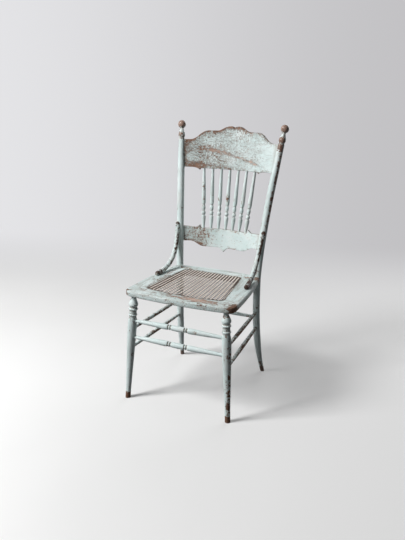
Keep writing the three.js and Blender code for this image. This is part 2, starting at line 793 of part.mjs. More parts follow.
function seatShape() {
  const front = SEAT_FRONT_WIDTH / 2;
  const back = SEAT_BACK_WIDTH / 2;
  const bowAt = (x) => SEAT_FRONT_BOW * (x / front) ** 2;
  const backBowAt = (x) => SEAT_BACK_BOW * (x / back) ** 2;
  const post = posts.right.curve.atHeight(SEAT_TOP);
  const corner = front - SEAT_CORNER_R;
  const cornerY = SEAT_FRONT_Y + bowAt(corner);
  const sideEnd = new THREE.Vector2(back, post.y - POST_R);
  const sideStart = new THREE.Vector2(front, cornerY + SEAT_CORNER_R);
  const half = new THREE.Path();
  half.moveTo(0, SEAT_FRONT_Y);
  parabolaTo(half, corner, SEAT_FRONT_Y, cornerY);
  half.quadraticCurveTo(front, SEAT_FRONT_Y + bowAt(front), sideStart.x, sideStart.y);
  const bulge = new THREE.Vector2().addVectors(sideStart, sideEnd).multiplyScalar(0.5);
  half.quadraticCurveTo(bulge.x + 2 * SEAT_SIDE_BOW, bulge.y, sideEnd.x, sideEnd.y);
  half.lineTo(post.x, post.y);
  const backEnd = post.x - POST_R;
  half.lineTo(backEnd, SEAT_BACK_Y - backBowAt(backEnd));
  parabolaTo(half, 0, SEAT_BACK_Y, SEAT_BACK_Y);
  return mirroredShape(half.getPoints(SEAT_STEPS));
}

const openSlope = (OPEN_FRONT_WIDTH - OPEN_BACK_WIDTH) / 2 / (OPEN_BACK_Y - OPEN_FRONT_Y);

function openHalfAt(y) {
  return OPEN_BACK_WIDTH / 2 + openSlope * (OPEN_BACK_Y - y);
}

function openFrontAt(x) {
  return OPEN_FRONT_Y - OPEN_FRONT_BOW * (1 - (2 * x / OPEN_FRONT_WIDTH) ** 2);
}

// The opening of the seat, grown outwards by a margin.
function openShape(grow) {
  const front = openHalfAt(OPEN_FRONT_Y - grow) + grow;
  const back = openHalfAt(OPEN_BACK_Y + grow) + grow;
  const frontY = OPEN_FRONT_Y - grow;
  const backY = OPEN_BACK_Y + grow;
  const round = OPEN_CORNER_R + grow;
  const half = new THREE.Path();
  half.moveTo(0, openFrontAt(0) - grow);
  parabolaTo(half, front - round, openFrontAt(0) - grow, openFrontAt(front - round) - grow);
  half.quadraticCurveTo(front, frontY, front - openSlope * round, frontY + round);
  half.lineTo(back + openSlope * round, backY - round);
  half.quadraticCurveTo(back, backY, back - round, backY);
  half.lineTo(0, backY);
  return mirroredShape(half.getPoints(OPEN_STEPS));
}

function openPrism(grow, low, high) {
  return solidOf(flatPrism(openShape(grow), low, high));
}

const GROOVE_WIDTH = CANE_SKIRT + SPLINE_WIDTH + 3 * FIT;
const GROOVE_DEPTH = SPLINE_HEIGHT + FIT;
const grooveOuter = CANE_LAP + GROOVE_WIDTH;

function seatBoard() {
  const board = new THREE.ExtrudeGeometry(seatShape(), {
    depth: SEAT_THICK - 2 * SEAT_EDGE_R,
    bevelThickness: SEAT_EDGE_R,
    bevelSize: SEAT_EDGE_R,
    bevelOffset: -SEAT_EDGE_R,
    bevelSegments: SEAT_EDGE_STEPS,
  });
  return board.translate(0, 0, SEAT_UNDER + SEAT_EDGE_R);
}

const above = SEAT_TOP + OVERCUT;
const through = openPrism(0, SEAT_UNDER - OVERCUT, above);
const rebate = openPrism(CANE_LAP, SEAT_TOP - CANE_THICK - FIT, above);
const groove = openPrism(grooveOuter, SEAT_TOP - GROOVE_DEPTH, above)
  .subtract(openPrism(CANE_LAP, SEAT_UNDER, above + OVERCUT));
const seatFrame = [through, rebate, groove, ...postCoats]
  .reduce((rest, cutter) => rest.subtract(cutter), solidOf(seatBoard()));

const frontSeam = OPEN_FRONT_Y + OPEN_CORNER_R / 2;
const backSeam = OPEN_BACK_WIDTH / 2 - OPEN_CORNER_R / 2;
const seatMiddle = SEAT_TOP - SEAT_THICK / 2;

function seatRail(name, from, to) {
  const region = solidOf(block(from, to));
  return { mesh: place(name, geometryOf(seatFrame.intersect(region)), PAINT), cuts: [] };
}

const rails = {
  front: seatRail(
    'seat_front_rail',
    new THREE.Vector3(-FAR, -FAR, 0),
    new THREE.Vector3(FAR, frontSeam - FIT / 2, FAR),
  ),
  back: seatRail(
    'seat_back_rail',
    new THREE.Vector3(FIT / 2 - backSeam, 0, 0),
    new THREE.Vector3(backSeam - FIT / 2, FAR, FAR),
  ),
  left: seatRail(
    'seat_side_rail_left',
    new THREE.Vector3(-FAR, frontSeam + FIT / 2, 0),
    new THREE.Vector3(-backSeam - FIT / 2, FAR, FAR),
  ),
  right: seatRail(
    'seat_side_rail_right',
    new THREE.Vector3(backSeam + FIT / 2, frontSeam + FIT / 2, 0),
    new THREE.Vector3(FAR, FAR, FAR),
  ),
};
Object.values(legs).forEach((leg) => rails.front.cuts.push(leg.socket));

// Dowels across the seams of the frame

function dowel(name, centre, direction, owners) {
  const half = direction.clone().setLength(DOWEL_LENGTH / 2);
  const from = centre.clone().sub(half);
  const to = centre.clone().add(half);
  const profile = [[DOWEL_R, 0], [DOWEL_R, DOWEL_LENGTH]];
  stand(place(name, turned(profile, DOWEL_SIDES), BARE_WOOD), from, to);
  const hole = standingSolid(turned(grown(profile), DOWEL_SIDES), from, to);
  owners.forEach((owner) => owner.cuts.push(hole));
}

for (const [name, side] of Object.entries(SIDES)) {
  const innerSpot = openHalfAt(frontSeam) + grooveOuter + DOWEL_EDGE;
  const outerSpot = SEAT_FRONT_WIDTH / 2 - DOWEL_EDGE;
  [innerSpot, outerSpot].forEach((x, i) => {
    const centre = new THREE.Vector3(side * x, frontSeam, seatMiddle);
    const owners = [rails.front, rails[name]];
    dowel(`front_dowel_${name}_${i + 1}`, centre, new THREE.Vector3(0, 1, 0), owners);
  });
  const frontmost = OPEN_BACK_Y + grooveOuter + DOWEL_BACK_EDGE;
  const rearmost = SEAT_CORNER_Y - DOWEL_BACK_EDGE;
  [frontmost, rearmost].forEach((y, i) => {
    const centre = new THREE.Vector3(side * backSeam, y, seatMiddle);
    const owners = [rails.back, rails[name]];
    dowel(`back_dowel_${name}_${i + 1}`, centre, new THREE.Vector3(1, 0, 0), owners);
  });
}

// Cane panel and the spline that holds its edge

function caneGaps() {
  const gaps = [];
  const reach = CANE_GAP / 2 + CANE_STRAND_WIDTH / 2;
  const rows = Math.floor((OPEN_BACK_Y - OPEN_FRONT_Y) / CANE_PITCH);
  const middle = (OPEN_BACK_Y + OPEN_FRONT_Y) / 2;
  for (let row = 0; row < rows; row += 1) {
    const y = middle + (row - (rows - 1) / 2) * CANE_PITCH;
    const half = Math.floor((openHalfAt(y + reach) - reach) / CANE_PITCH);
    for (let column = -half; column <= half; column += 1) {
      gaps.push(new THREE.Vector2(column * CANE_PITCH, y));
    }
  }
  return gaps;
}

function caneGap(centre) {
  const radius = CANE_GAP / 2;
  const height = CANE_THICK + 2 * OVERCUT;
  const gap = new THREE.CylinderGeometry(radius, radius, height, CANE_GAP_SIDES);
  gap.rotateY(Math.PI / CANE_GAP_SIDES).rotateX(Math.PI / 2);
  return solidOf(gap.translate(centre.x, centre.y, SEAT_TOP));
}

// Strands that run front to back, as ridges on the top of the panel.
function warp(spots) {
  const half = CANE_STRAND_WIDTH / 2;
  const low = SEAT_TOP - CANE_THICK / 2;
  const high = SEAT_TOP + CANE_WARP_RISE;
  const bars = spots.map((x) => {
    const from = new THREE.Vector3(x - half, -FAR, low);
    const to = new THREE.Vector3(x + half, FAR, high);
    return solidOf(block(from, to));
  });
  return bars.reduce((all, bar) => all.add(bar));
}

function between(spots) {
  const sorted = [...new Set(spots)].sort((a, b) => a - b);
  const first = sorted[0] - CANE_PITCH / 2;
  return [first, ...sorted.map((spot) => spot + CANE_PITCH / 2)];
}

const gaps = caneGaps();
const caneEdge = CANE_LAP + FIT + CANE_SKIRT;
const skirt = openPrism(caneEdge, SEAT_TOP - CANE_SKIRT_DROP, SEAT_TOP - CANE_THICK / 2)
  .subtract(openPrism(CANE_LAP + FIT, SEAT_UNDER, above));
const weave = warp(between(gaps.map((gap) => gap.x))).intersect(through);
const panel = openPrism(caneEdge, SEAT_TOP - CANE_THICK, SEAT_TOP).add(skirt).add(weave);
const cane = gaps.reduce((rest, gap) => rest.subtract(caneGap(gap)), panel);
place('cane_panel', geometryOf(cane), CANE);

const splineInner = caneEdge + FIT;
const splineLow = SEAT_TOP - GROOVE_DEPTH + FIT;
const spline = openPrism(splineInner + SPLINE_WIDTH, splineLow, SEAT_TOP)
  .subtract(openPrism(splineInner, SEAT_UNDER, above));
place('cane_spline', geometryOf(spline), WORN_PAINT);

// Screws

function screw(name, head, direction, length, owners) {
  const tip = head.clone().addScaledVector(direction, length);
  const shank = length - SCREW_HEAD;
  const profile = [
    [SCREW_R, 0],
    [SCREW_R, shank],
    [SCREW_HEAD_R, length],
  ];
  const hole = [...grown(profile), [SCREW_HEAD_R + FIT, length + SCREW_SUNK + OVERCUT]];
  stand(place(name, turned(profile, SCREW_SIDES), OLD_STEEL), tip, head);
  const cutter = standingSolid(turned(hole, SCREW_SIDES), tip, head);
  owners.forEach((owner) => owner.cuts.push(cutter));
}

// Hip brackets: bent rods from the posts down on to the side rails

function bracketCurve(side, curve) {
  const post = curve.atHeight(SEAT_TOP);
  const hold = curve.atHeight(BRACKET_TOP_Z);
  const restZ = SEAT_TOP + BRACKET_R - BRACKET_FLAT;
  const tipY = post.y - BRACKET_REACH;
  const tipX = side * (Math.abs(post.x) + BRACKET_TIP_OUT);
  const top = new THREE.Vector3(hold.x + side * BRACKET_TOP_OUT, hold.y - BRACKET_TOP_FRONT, hold.z);
  const belly = post.x + side * BRACKET_OUT;
  const fall = new THREE.Vector3(belly, post.y - BRACKET_FALL_FRONT, hold.z - BRACKET_FALL);
  const run = new THREE.Vector3(belly, tipY + BRACKET_RUN, restZ);
  const tip = new THREE.Vector3(tipX, tipY, restZ);
  return new THREE.CubicBezierCurve3(top, fall, run, tip);
}

function bracketProfile(length) {
  const round = [];
  for (let i = 0; i < BRACKET_TIP_STEPS; i += 1) {
    const share = i / BRACKET_TIP_STEPS;
    const bulge = Math.sin((Math.PI / 2) * share);
    round.push([BRACKET_TIP_R + (BRACKET_R - BRACKET_TIP_R) * bulge, BRACKET_TIP * share]);
  }
  const rod = [];
  for (let i = 0; i <= BRACKET_STEPS; i += 1) {
    rod.push([BRACKET_R, BRACKET_TIP + (length - 2 * BRACKET_TIP) * (i / BRACKET_STEPS)]);
  }
  return [...round, ...rod, ...reversed(round, length)];
}

const seatBlock = solidOf(
  block(new THREE.Vector3(-FAR, -FAR, SEAT_UNDER), new THREE.Vector3(FAR, FAR, SEAT_TOP + FIT)),
);
for (const [name, side] of Object.entries(SIDES)) {
  const post = posts[name];
  const curve = bracketCurve(side, post.curve);
  const length = curve.getLength();
  const rod = steamBend(turned(bracketProfile(length), BRACKET_SIDES), curve);
  const bracket = { mesh: place(`hip_bracket_${name}`, rod, WORN_PAINT), cuts: [] };
  bracket.cuts.push(post.coat, seatBlock);

  const inset = BRACKET_SCREW_FROM_END / length;
  const high = curve.getPointAt(inset);
  const inwards = post.curve.atHeight(high.z).sub(high).setZ(0).normalize();
  const highHead = high.addScaledVector(inwards, SCREW_SUNK - BRACKET_R);
  screw(`bracket_screw_${name}_upper`, highHead, inwards, SCREW_LENGTH, [bracket, post]);

  const down = new THREE.Vector3(0, 0, -1);
  const lowHead = curve.getPointAt(1 - inset);
  lowHead.z += BRACKET_R - SCREW_SUNK;
  screw(`bracket_screw_${name}_lower`, lowHead, down, SCREW_LENGTH, [bracket, rails[name]]);

  const forwards = new THREE.Vector3(0, -1, 0);
  const postHead = post.curve.atHeight(seatMiddle);
  postHead.y += POST_R - SCREW_SUNK;
  screw(`post_screw_${name}`, postHead, forwards, POST_SCREW_LENGTH, [post, rails[name]]);
  carve(bracket.mesh, bracket.cuts);
}

// Sockets, mortises and holes that the pieces above call for
for (const piece of [...Object.values(posts), ...Object.values(legs), ...Object.values(rails)]) {
  carve(piece.mesh, piece.cuts);
}

// The origin: on the floor, under the middle of the chair
const box = new THREE.Box3().setFromObject(chair);
const centre = box.getCenter(new THREE.Vector3());
chair.position.set(-centre.x, -centre.y, 0);

const part = new THREE.Group();
part.add(chair);

export default part;
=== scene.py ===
"""Dresses the painted cane-seat chair and sets it in a pale studio.

Sizes are millimetres in the chair's own frame: +Z up, the front of the seat faces -Y. The bench
brings each finished piece to metres and to the shared frame.
"""

import logging
import math
from collections.abc import Callable, Sequence
from dataclasses import dataclass, field, replace
from enum import Enum

import bmesh
import bpy
from bmesh.types import BMesh, BMFace
from mathutils import Matrix, Vector


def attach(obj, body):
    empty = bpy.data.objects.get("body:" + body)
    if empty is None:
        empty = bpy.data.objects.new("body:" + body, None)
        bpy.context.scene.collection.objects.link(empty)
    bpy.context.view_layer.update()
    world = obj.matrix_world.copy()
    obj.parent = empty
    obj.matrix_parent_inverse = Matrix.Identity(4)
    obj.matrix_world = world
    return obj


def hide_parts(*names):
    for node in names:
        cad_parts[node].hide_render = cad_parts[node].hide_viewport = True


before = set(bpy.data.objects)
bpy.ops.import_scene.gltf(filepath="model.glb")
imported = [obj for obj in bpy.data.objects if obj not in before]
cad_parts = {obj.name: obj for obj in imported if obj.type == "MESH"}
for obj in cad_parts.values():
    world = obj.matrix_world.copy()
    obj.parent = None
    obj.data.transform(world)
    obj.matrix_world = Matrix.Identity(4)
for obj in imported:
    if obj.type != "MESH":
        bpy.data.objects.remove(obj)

log = logging.getLogger("chair")

MM = 0.001
DEPTH_SHIFT = -12.7932
Point = tuple[float, float]
Triple = tuple[float, float, float]
Colour = tuple[float, float, float, float]
Axis = Callable[[float], tuple[Vector, Vector]]
Node = bpy.types.Node
Socket = bpy.types.NodeSocket


class Side(Enum):
    """Side of the chair, as the sitter's front faces -Y."""

    LEFT = -1
    RIGHT = 1

    @property
    def word(self) -> str:
        """The side as it stands in the names of the pieces."""
        return self.name.lower()


class Grain(Enum):
    """Axis that the grain of a piece runs along."""

    ACROSS = 0
    FORE_AND_AFT = 1
    UPRIGHT = 2

    def drawn(self, times: float) -> tuple[float, ...]:
        """Scale that draws a pattern out along the grain."""
        return tuple(1.0 / times if axis == self.value else 1.0 for axis in range(3))


# Curves


def ease(value: float, low: float, high: float) -> float:
    """Rises smoothly from 0 at low to 1 at high."""
    share = min(1.0, max(0.0, (value - low) / (high - low)))
    return share * share * (3.0 - 2.0 * share)


def fade(distance: float, reach: float) -> float:
    """Falls from 1 at no distance to next to nothing at twice the reach."""
    return math.exp(-((distance / reach) ** 2))


def bow_weights(t: float) -> tuple[float, float, float, float]:
    """Weights of the four knots of a bow, at a share of its way."""
    return (1 - t) ** 3, 3 * t * (1 - t) ** 2, 3 * t * t * (1 - t), t**3


def flowing(sizes: Sequence[Point], steps: int) -> list[Point]:
    """Draws one smooth curve through a few sizes.

    Args:
        sizes: Points that the curve passes.
        steps: Number of stretches of the result.

    Returns:
        Points along the curve.
    """
    last = len(sizes) - 1
    points = []
    for i in range(steps + 1):
        spot = last * i / steps
        knot = min(int(spot), last - 1)
        share = spot - knot
        near = [sizes[max(0, min(last, knot + k))] for k in (-1, 0, 1, 2)]
        point = []
        for before, start, end, after in zip(*near):
            leave = (end - before) / 2
            arrive = (after - start) / 2
            cubic = 2 * start - 2 * end + leave + arrive
            square = -3 * start + 3 * end - 2 * leave - arrive
            point.append(((cubic * share + square) * share + leave) * share + start)
        points.append(tuple(point))
    return points


def bead(low: float, high: float, edge: float, crown: float, steps: int = 12) -> list[Point]:
    """Cuts a bead between two heights, or a cove where the crown is the smaller radius.

    Args:
        low: Lower end.
        high: Upper end.
        edge: Radius at both ends.
        crown: Radius at the middle.
        steps: Number of stretches.

    Returns:
        Radius and height of each point.
    """
    shares = [i / steps for i in range(steps + 1)]
    return [
        (edge + (crown - edge) * math.sin(math.pi * share), low + (high - low) * share)
        for share in shares
    ]


def dense(profile: Sequence[Point], step: float) -> list[Point]:
    """Adds points to a profile until none lie further apart than a step.

    Args:
        profile: Radius and height of each point.
        step: Greatest distance between neighbours.

    Returns:
        The fuller profile.
    """
    points = [profile[0]]
    for start, end in zip(profile, profile[1:]):
        count = max(1, math.ceil(math.dist(start, end) / step))
        for i in range(1, count + 1):
            share = i / count
            radius = start[0] + (end[0] - start[0]) * share
            points.append((radius, start[1] + (end[1] - start[1]) * share))
    return points


@dataclass
class Outline:
    """The right half of a sawn outline, drawn from point to point."""

    points: list[Point]
    steps: int = 14
    same: float = 0.05

    def line_to(self, x: float, y: float) -> None:
        """Runs straight to a point."""
        self.points.append((x, y))

    def bow_to(self, middle_x: float, middle_y: float, x: float, y: float) -> None:
        """Runs in one bow, pulled towards a middle point.

        Args:
            middle_x: Middle point, across.
            middle_y: Middle point, along.
            x: End, across.
            y: End, along.
        """
        start = self.points[-1]
        for i in range(1, self.steps + 1):
            t = i / self.steps
            weights = ((1 - t) ** 2, 2 * t * (1 - t), t * t)
            knots = (start, (middle_x, middle_y), (x, y))
            self.points.append(weighed(weights, knots))

    def sweep_to(self, x: float, y: float, lead: float = 0.45) -> None:
        """Runs in an S that leaves and arrives level.

        Args:
            x: End, across.
            y: End, along.
            lead: Share of the run that it stays level for.
        """
        start = self.points[-1]
        run = (x - start[0]) * lead
        knots = (start, (start[0] + run, start[1]), (x - run, y), (x, y))
        for i in range(1, self.steps + 1):
            self.points.append(weighed(bow_weights(i / self.steps), knots))

    def whole(self) -> list[Point]:
        """Both halves as one closed outline.

        Returns:
            The outline, right half first.
        """
        right = [self.points[0]]
        for point in self.points[1:]:
            if math.dist(point, right[-1]) > self.same:
                right.append(point)
        left = [(-x, y) for x, y in reversed(right) if x > self.same]
        return right + left


def weighed(weights: Sequence[float], knots: Sequence[Point]) -> Point:
    """Weighed mean of a few points."""
    x = sum(w * knot[0] for w, knot in zip(weights, knots))
    return x, sum(w * knot[1] for w, knot in zip(weights, knots))


def ray_hits(outline: Sequence[Point], centre: Point, count: int) -> list[Vector]:
    """Points of an outline at even angles round a centre.

    Args:
        outline: Closed outline that is seen whole from the centre.
        centre: Where the rays start.
        count: Number of rays.

    Returns:
        One point for each ray, with no height.
    """
    hits = []
    corners = [Vector((x - centre[0], y - centre[1])) for x, y in outline]
    edges = list(zip(corners, corners[1:] + corners[:1]))
    for i in range(count):
        angle = math.tau * i / count
        ray = Vector((math.cos(angle), math.sin(angle)))
        reach = 0.0
        for start, end in edges:
            run = end - start
            across = ray.x * run.y - ray.y * run.x
            if abs(across) < 1e-9:
                continue
            share = (start.y * ray.x - start.x * ray.y) / -across
            length = (start.x * run.y - start.y * run.x) / across
            if -1e-6 <= share <= 1 + 1e-6 and length > reach:
                reach = length
        hits.append(Vector((centre[0] + ray.x * reach, centre[1] + ray.y * reach, 0.0)))
    return hits


# Wear


@dataclass(frozen=True)
class Worn:
    """A worn place, in the flat measures of its piece.

    On turned wood the measures are the height along the piece and the angle round it in degrees,
    0 at the front and 90 at +X. On a board they are its two sides.
    """

    at: Point
    reach: Point
    loss: float
    turn: float = 0.0

    def share(self, along: float, across: float, about: bool) -> float:
        """Loss that this place adds at a point.

        Args:
            along: First measure of the point.
            across: Second measure.
            about: Whether the second measure is an angle.

        Returns:
            The loss.
        """
        gap_along = along - self.at[0]
        gap_across = across - self.at[1]
        if about:
            gap_across = (gap_across + 180.0) % 360.0 - 180.0
        turn = math.radians(self.turn)
        u = gap_along * math.cos(turn) + gap_across * math.sin(turn)
        v = gap_across * math.cos(turn) - gap_along * math.sin(turn)
        return self.loss * math.exp(-((u / self.reach[0]) ** 2) - (v / self.reach[1]) ** 2)


def worn(*rows: tuple[float, ...]) -> tuple[Worn, ...]:
    """Worn places from rows of two measures, two reaches, the loss and perhaps a turn."""
    return tuple(Worn(row[:2], row[2:4], *row[4:]) for row in rows)


@dataclass(frozen=True)
class WearPlan:
    """How much paint a piece has lost, from 0 for none to 1 for all of it; a few places lay dark
    bare wood as painted shade.
    """

    base: float = 0.1
    places: tuple[Worn, ...] = ()
    ridge: float = 0.05
    edge: float = 0.0
    rubs: tuple[Worn, ...] = ()

    def rub(self, along: float, across: float) -> float:
        """How pale the bare wood of a board is rubbed at a point."""
        return min(1.0, sum(place.share(along, across, False) for place in self.rubs))

    def level(self, along: float, across: float, about: bool = True) -> float:
        """Loss at a point of the piece."""
        return self.base + sum(place.share(along, across, about) for place in self.places)


# Nodes


@dataclass
class Graph:
    """A node tree that is being wired."""

    tree: bpy.types.NodeTree

    def add(self, kind: str, feeds: dict | None = None, **settings: object) -> Node:
        """Adds a node.

        Args:
            kind: Blender's name for the node.
            feeds: Value or socket for each of its inputs.
            settings: Properties of the node.

        Returns:
            The node.
        """
        node = self.tree.nodes.new(kind)
        for key, value in settings.items():
            setattr(node, key, value)
        for key, value in (feeds or {}).items():
            self.feed(node.inputs[key], value)
        return node

    def feed(self, socket: Socket, value: object) -> None:
        """Links a socket to an input, or sets the input's own value.

        Args:
            socket: Input of a node.
            value: Socket or plain value.
        """
        if isinstance(value, Socket):
            self.tree.links.new(value, socket)
        else:
            socket.default_value = value

    def math(self, operation: str, first: object, second: object = 0.0) -> Socket:
        """Works out one operation on two values."""
        node = self.add("ShaderNodeMath", {0: first, 1: second}, operation=operation)
        return node.outputs[0]

    def step(self, value: object, low: float, high: float) -> Socket:
        """Rises smoothly from 0 at low to 1 at high."""
        feeds = {"Value": value, "From Min": low, "From Max": high}
        return self.add("ShaderNodeMapRange", feeds, interpolation_type="SMOOTHSTEP").outputs[0]

    def mix(self, share: object, first: object, second: object) -> Socket:
        """Mixes two colours."""
        node = self.add("ShaderNodeMix", {0: share, 6: first, 7: second}, data_type="RGBA")
        return node.outputs[2]

    def between(self, share: object, first: object, second: object) -> Socket:
        """Mixes two values."""
        node = self.add("ShaderNodeMix", {0: share, 2: first, 3: second}, data_type="FLOAT")
        return node.outputs[0]

    def noise(
        self, vector: object, scale: object, detail: float, rough: float, swirl: float = 0.0
    ) -> Socket:
        """Adds cloudy noise about 0.5.

        Args:
            vector: Place that is looked up.
            scale: Clouds to the metre.
            detail: Number of finer layers.
            rough: Strength of these.
            swirl: How far the clouds are stirred.

        Returns:
            The noise.
        """
        feeds = {"Vector": vector, "Scale": scale, "Detail": detail, "Roughness": rough}
        feeds["Distortion"] = swirl
        return self.add("ShaderNodeTexNoise", feeds).outputs[0]

    def ramp(self, value: object, stops: Sequence[tuple[float, Colour]]) -> Socket:
        """Turns a value to a colour through a row of stops.

        Args:
            value: From 0 to 1.
            stops: Place and colour of each stop.

        Returns:
            The colour.
        """
        node = self.add("ShaderNodeValToRGB", {0: value})
        elements = node.color_ramp.elements
        while len(elements) < len(stops):
            elements.new(1.0)
        for element, (place, colour) in zip(elements, stops):
            element.position = place
            element.color = colour
        return node.outputs[0]

    def group(self, effect: "Effect", feeds: dict) -> Node:
        """Adds one of the shared effects and feeds its inputs."""
        return self.add("ShaderNodeGroup", feeds, node_tree=effect.tree())

    def layer(self, name: str) -> Socket:
        """Reads one of the layers that the pieces are marked with."""
        return self.add("ShaderNodeAttribute", attribute_name=name).outputs["Fac"]

    def drawn(self, vector: object, scale: Sequence[float]) -> Socket:
        """Draws a place out by a scale for each axis."""
        return self.add("ShaderNodeMapping", {"Vector": vector, "Scale": scale}).outputs[0]

    def dot(self, vector: object, direction: Sequence[float]) -> Socket:
        """How far a vector reaches in a direction."""
        feeds = {0: vector, 1: direction}
        return self.add("ShaderNodeVectorMath", feeds, operation="DOT_PRODUCT").outputs["Value"]

    def bump(self, shader: Node, height: object, distance: float, strength: float) -> None:
        """Gives a shader a relief."""
        feeds = {"Height": height, "Distance": distance, "Strength": strength}
        self.feed(shader.inputs["Normal"], self.add("ShaderNodeBump", feeds).outputs[0])


class Effect:
    """A shader effect that several finishes share."""

    name = "effect"
    inputs: tuple[tuple[str, str, object], ...] = ()
    outputs: tuple[tuple[str, str], ...] = ()

    def tree(self) -> bpy.types.NodeTree:
        """The effect's node group, built once.

        Returns:
            The node group.
        """
        known = bpy.data.node_groups.get(self.name)
        if known:
            return known
        tree = bpy.data.node_groups.new(self.name, "ShaderNodeTree")
        for name, kind, value in self.inputs:
            socket = tree.interface.new_socket(name, in_out="INPUT", socket_type=kind)
            if value is not None:
                socket.default_value = value
        for name, kind in self.outputs:
            tree.interface.new_socket(name, in_out="OUTPUT", socket_type=kind)
        graph = Graph(tree)
        source = graph.add("NodeGroupInput")
        results = self.wire(graph, {socket.name: socket for socket in source.outputs})
        graph.add("NodeGroupOutput", results)
        return tree

    def wire(self, graph: Graph, given: dict) -> dict:
        """Wires the effect.

        Args:
            graph: Tree to wire in.
            given: The group's inputs by name.

        Returns:
            A socket for each of the group's outputs.
        """
        raise NotImplementedError


FLOAT = "NodeSocketFloat"
VECTOR = "NodeSocketVector"
COLOUR = "NodeSocketColor"
GRAIN_DRAW = 10.0
PORE_DARK = (0.05, 0.022, 0.014, 1.0)
SOIL_AND_SHADE = (0.235, 0.190, 0.150, 1.0)
YELLOWED = (0.420, 0.345, 0.270, 1.0)
CRACK = (0.110, 0.085, 0.070, 1.0)
WOOD_STAIN_AND_SHADE = (0.040, 0.021, 0.014, 1.0)
CANE_DIRT_AND_SHADE = (0.070, 0.045, 0.032, 1.0)
STEEL = (0.10, 0.095, 0.09, 1.0)
RUST = ((0.055, 0.022, 0.012, 1.0), (0.210, 0.090, 0.040, 1.0))
WOOD_TONES = (
    (0.28, (0.075, 0.030, 0.016, 1.0)),
    (0.48, (0.200, 0.088, 0.045, 1.0)),
    (0.72, (0.360, 0.205, 0.130, 1.0)),
)
PALE_TONES = (
    (0.30, (0.370, 0.235, 0.175, 1.0)),
    (0.50, (0.590, 0.430, 0.355, 1.0)),
    (0.72, (0.710, 0.570, 0.490, 1.0)),
)
PAINT_TONES = (
    (0.32, (0.600, 0.710, 0.700, 1.0)),
    (0.52, (0.672, 0.770, 0.762, 1.0)),
    (0.70, (0.735, 0.800, 0.790, 1.0)),
)
CANE_TONES = (
    (0.33, (0.570, 0.475, 0.410, 1.0)),
    (0.50, (0.765, 0.680, 0.615, 1.0)),
    (0.68, (0.850, 0.785, 0.735, 1.0)),
)


class PeelingMask(Effect):
    """Where the paint has gone, from a wear level and ragged noise."""

    name = "peeling_mask"
    inputs = (
        ("Vector", VECTOR, None),
        ("Wear", FLOAT, 0.1),
        ("Patch Scale", FLOAT, 60.0),
        ("Speck Scale", FLOAT, 300.0),
        ("Ragged", FLOAT, 1.0),
        ("Specks", FLOAT, 0.5),
        ("Flakes", FLOAT, 0.2),
    )
    outputs = (("Bare", FLOAT), ("Rim", FLOAT), ("Film", FLOAT))
    torn: Point = (0.47, 0.53)
    rim: Point = (0.36, 0.49)

    def wire(self, graph: Graph, given: dict) -> dict:
        """Adds ragged noise to the wear and cuts the sum at a level.

        Args:
            graph: Tree to wire in.
            given: The group's inputs by name.

        Returns:
            A socket for each of the group's outputs.
        """
        patches = graph.noise(given["Vector"], given["Patch Scale"], 6.0, 0.62, swirl=0.3)
        specks = graph.noise(given["Vector"], given["Speck Scale"], 3.0, 0.65)
        flake_scale = graph.math("MULTIPLY", given["Speck Scale"], 0.5)
        flakes = graph.add(
            "ShaderNodeTexVoronoi", {"Vector": given["Vector"], "Scale": flake_scale}
        )
        flake = graph.add("ShaderNodeSeparateColor", {0: flakes.outputs["Color"]}).outputs[0]
        level = given["Wear"]
        for value, strength in (
            (patches, given["Ragged"]),
            (specks, given["Specks"]),
            (flake, given["Flakes"]),
        ):
            swing = graph.math("MULTIPLY", graph.math("SUBTRACT", value, 0.5), strength)
            level = graph.math("ADD", level, swing)
        bare = graph.step(level, *self.torn)
        near = graph.step(level, *self.rim)
        kept = graph.math("SUBTRACT", 1.0, bare)
        rim = graph.math("MULTIPLY", near, kept)
        return {"Bare": bare, "Rim": rim, "Film": kept}


class OldWood(Effect):
    """Bare old wood with dark pores and streaks along its grain."""

    name = "old_wood"
    inputs = (("Vector", VECTOR, None), ("Bleach", FLOAT, 0.3))
    outputs = (("Color", COLOUR), ("Height", FLOAT))

    def wire(self, graph: Graph, given: dict) -> dict:
        """Wires streaks and pores along the grain.

        Args:
            graph: Tree to wire in.
            given: The group's inputs by name.

        Returns:
            A socket for each of the group's outputs.
        """
        streaks = graph.noise(given["Vector"], 190.0, 6.0, 0.6, 0.8)
        pores = graph.noise(given["Vector"], 900.0, 2.0, 0.5)
        colour = graph.ramp(streaks, WOOD_TONES)
        pale = graph.ramp(streaks, PALE_TONES)
        colour = graph.mix(given["Bleach"], colour, pale)
        dark = graph.step(pores, 0.60, 0.42)
        colour = graph.mix(graph.math("MULTIPLY", dark, 0.25), colour, PORE_DARK)
        height = graph.between(0.4, streaks, pores)
        return {"Color": colour, "Height": height}


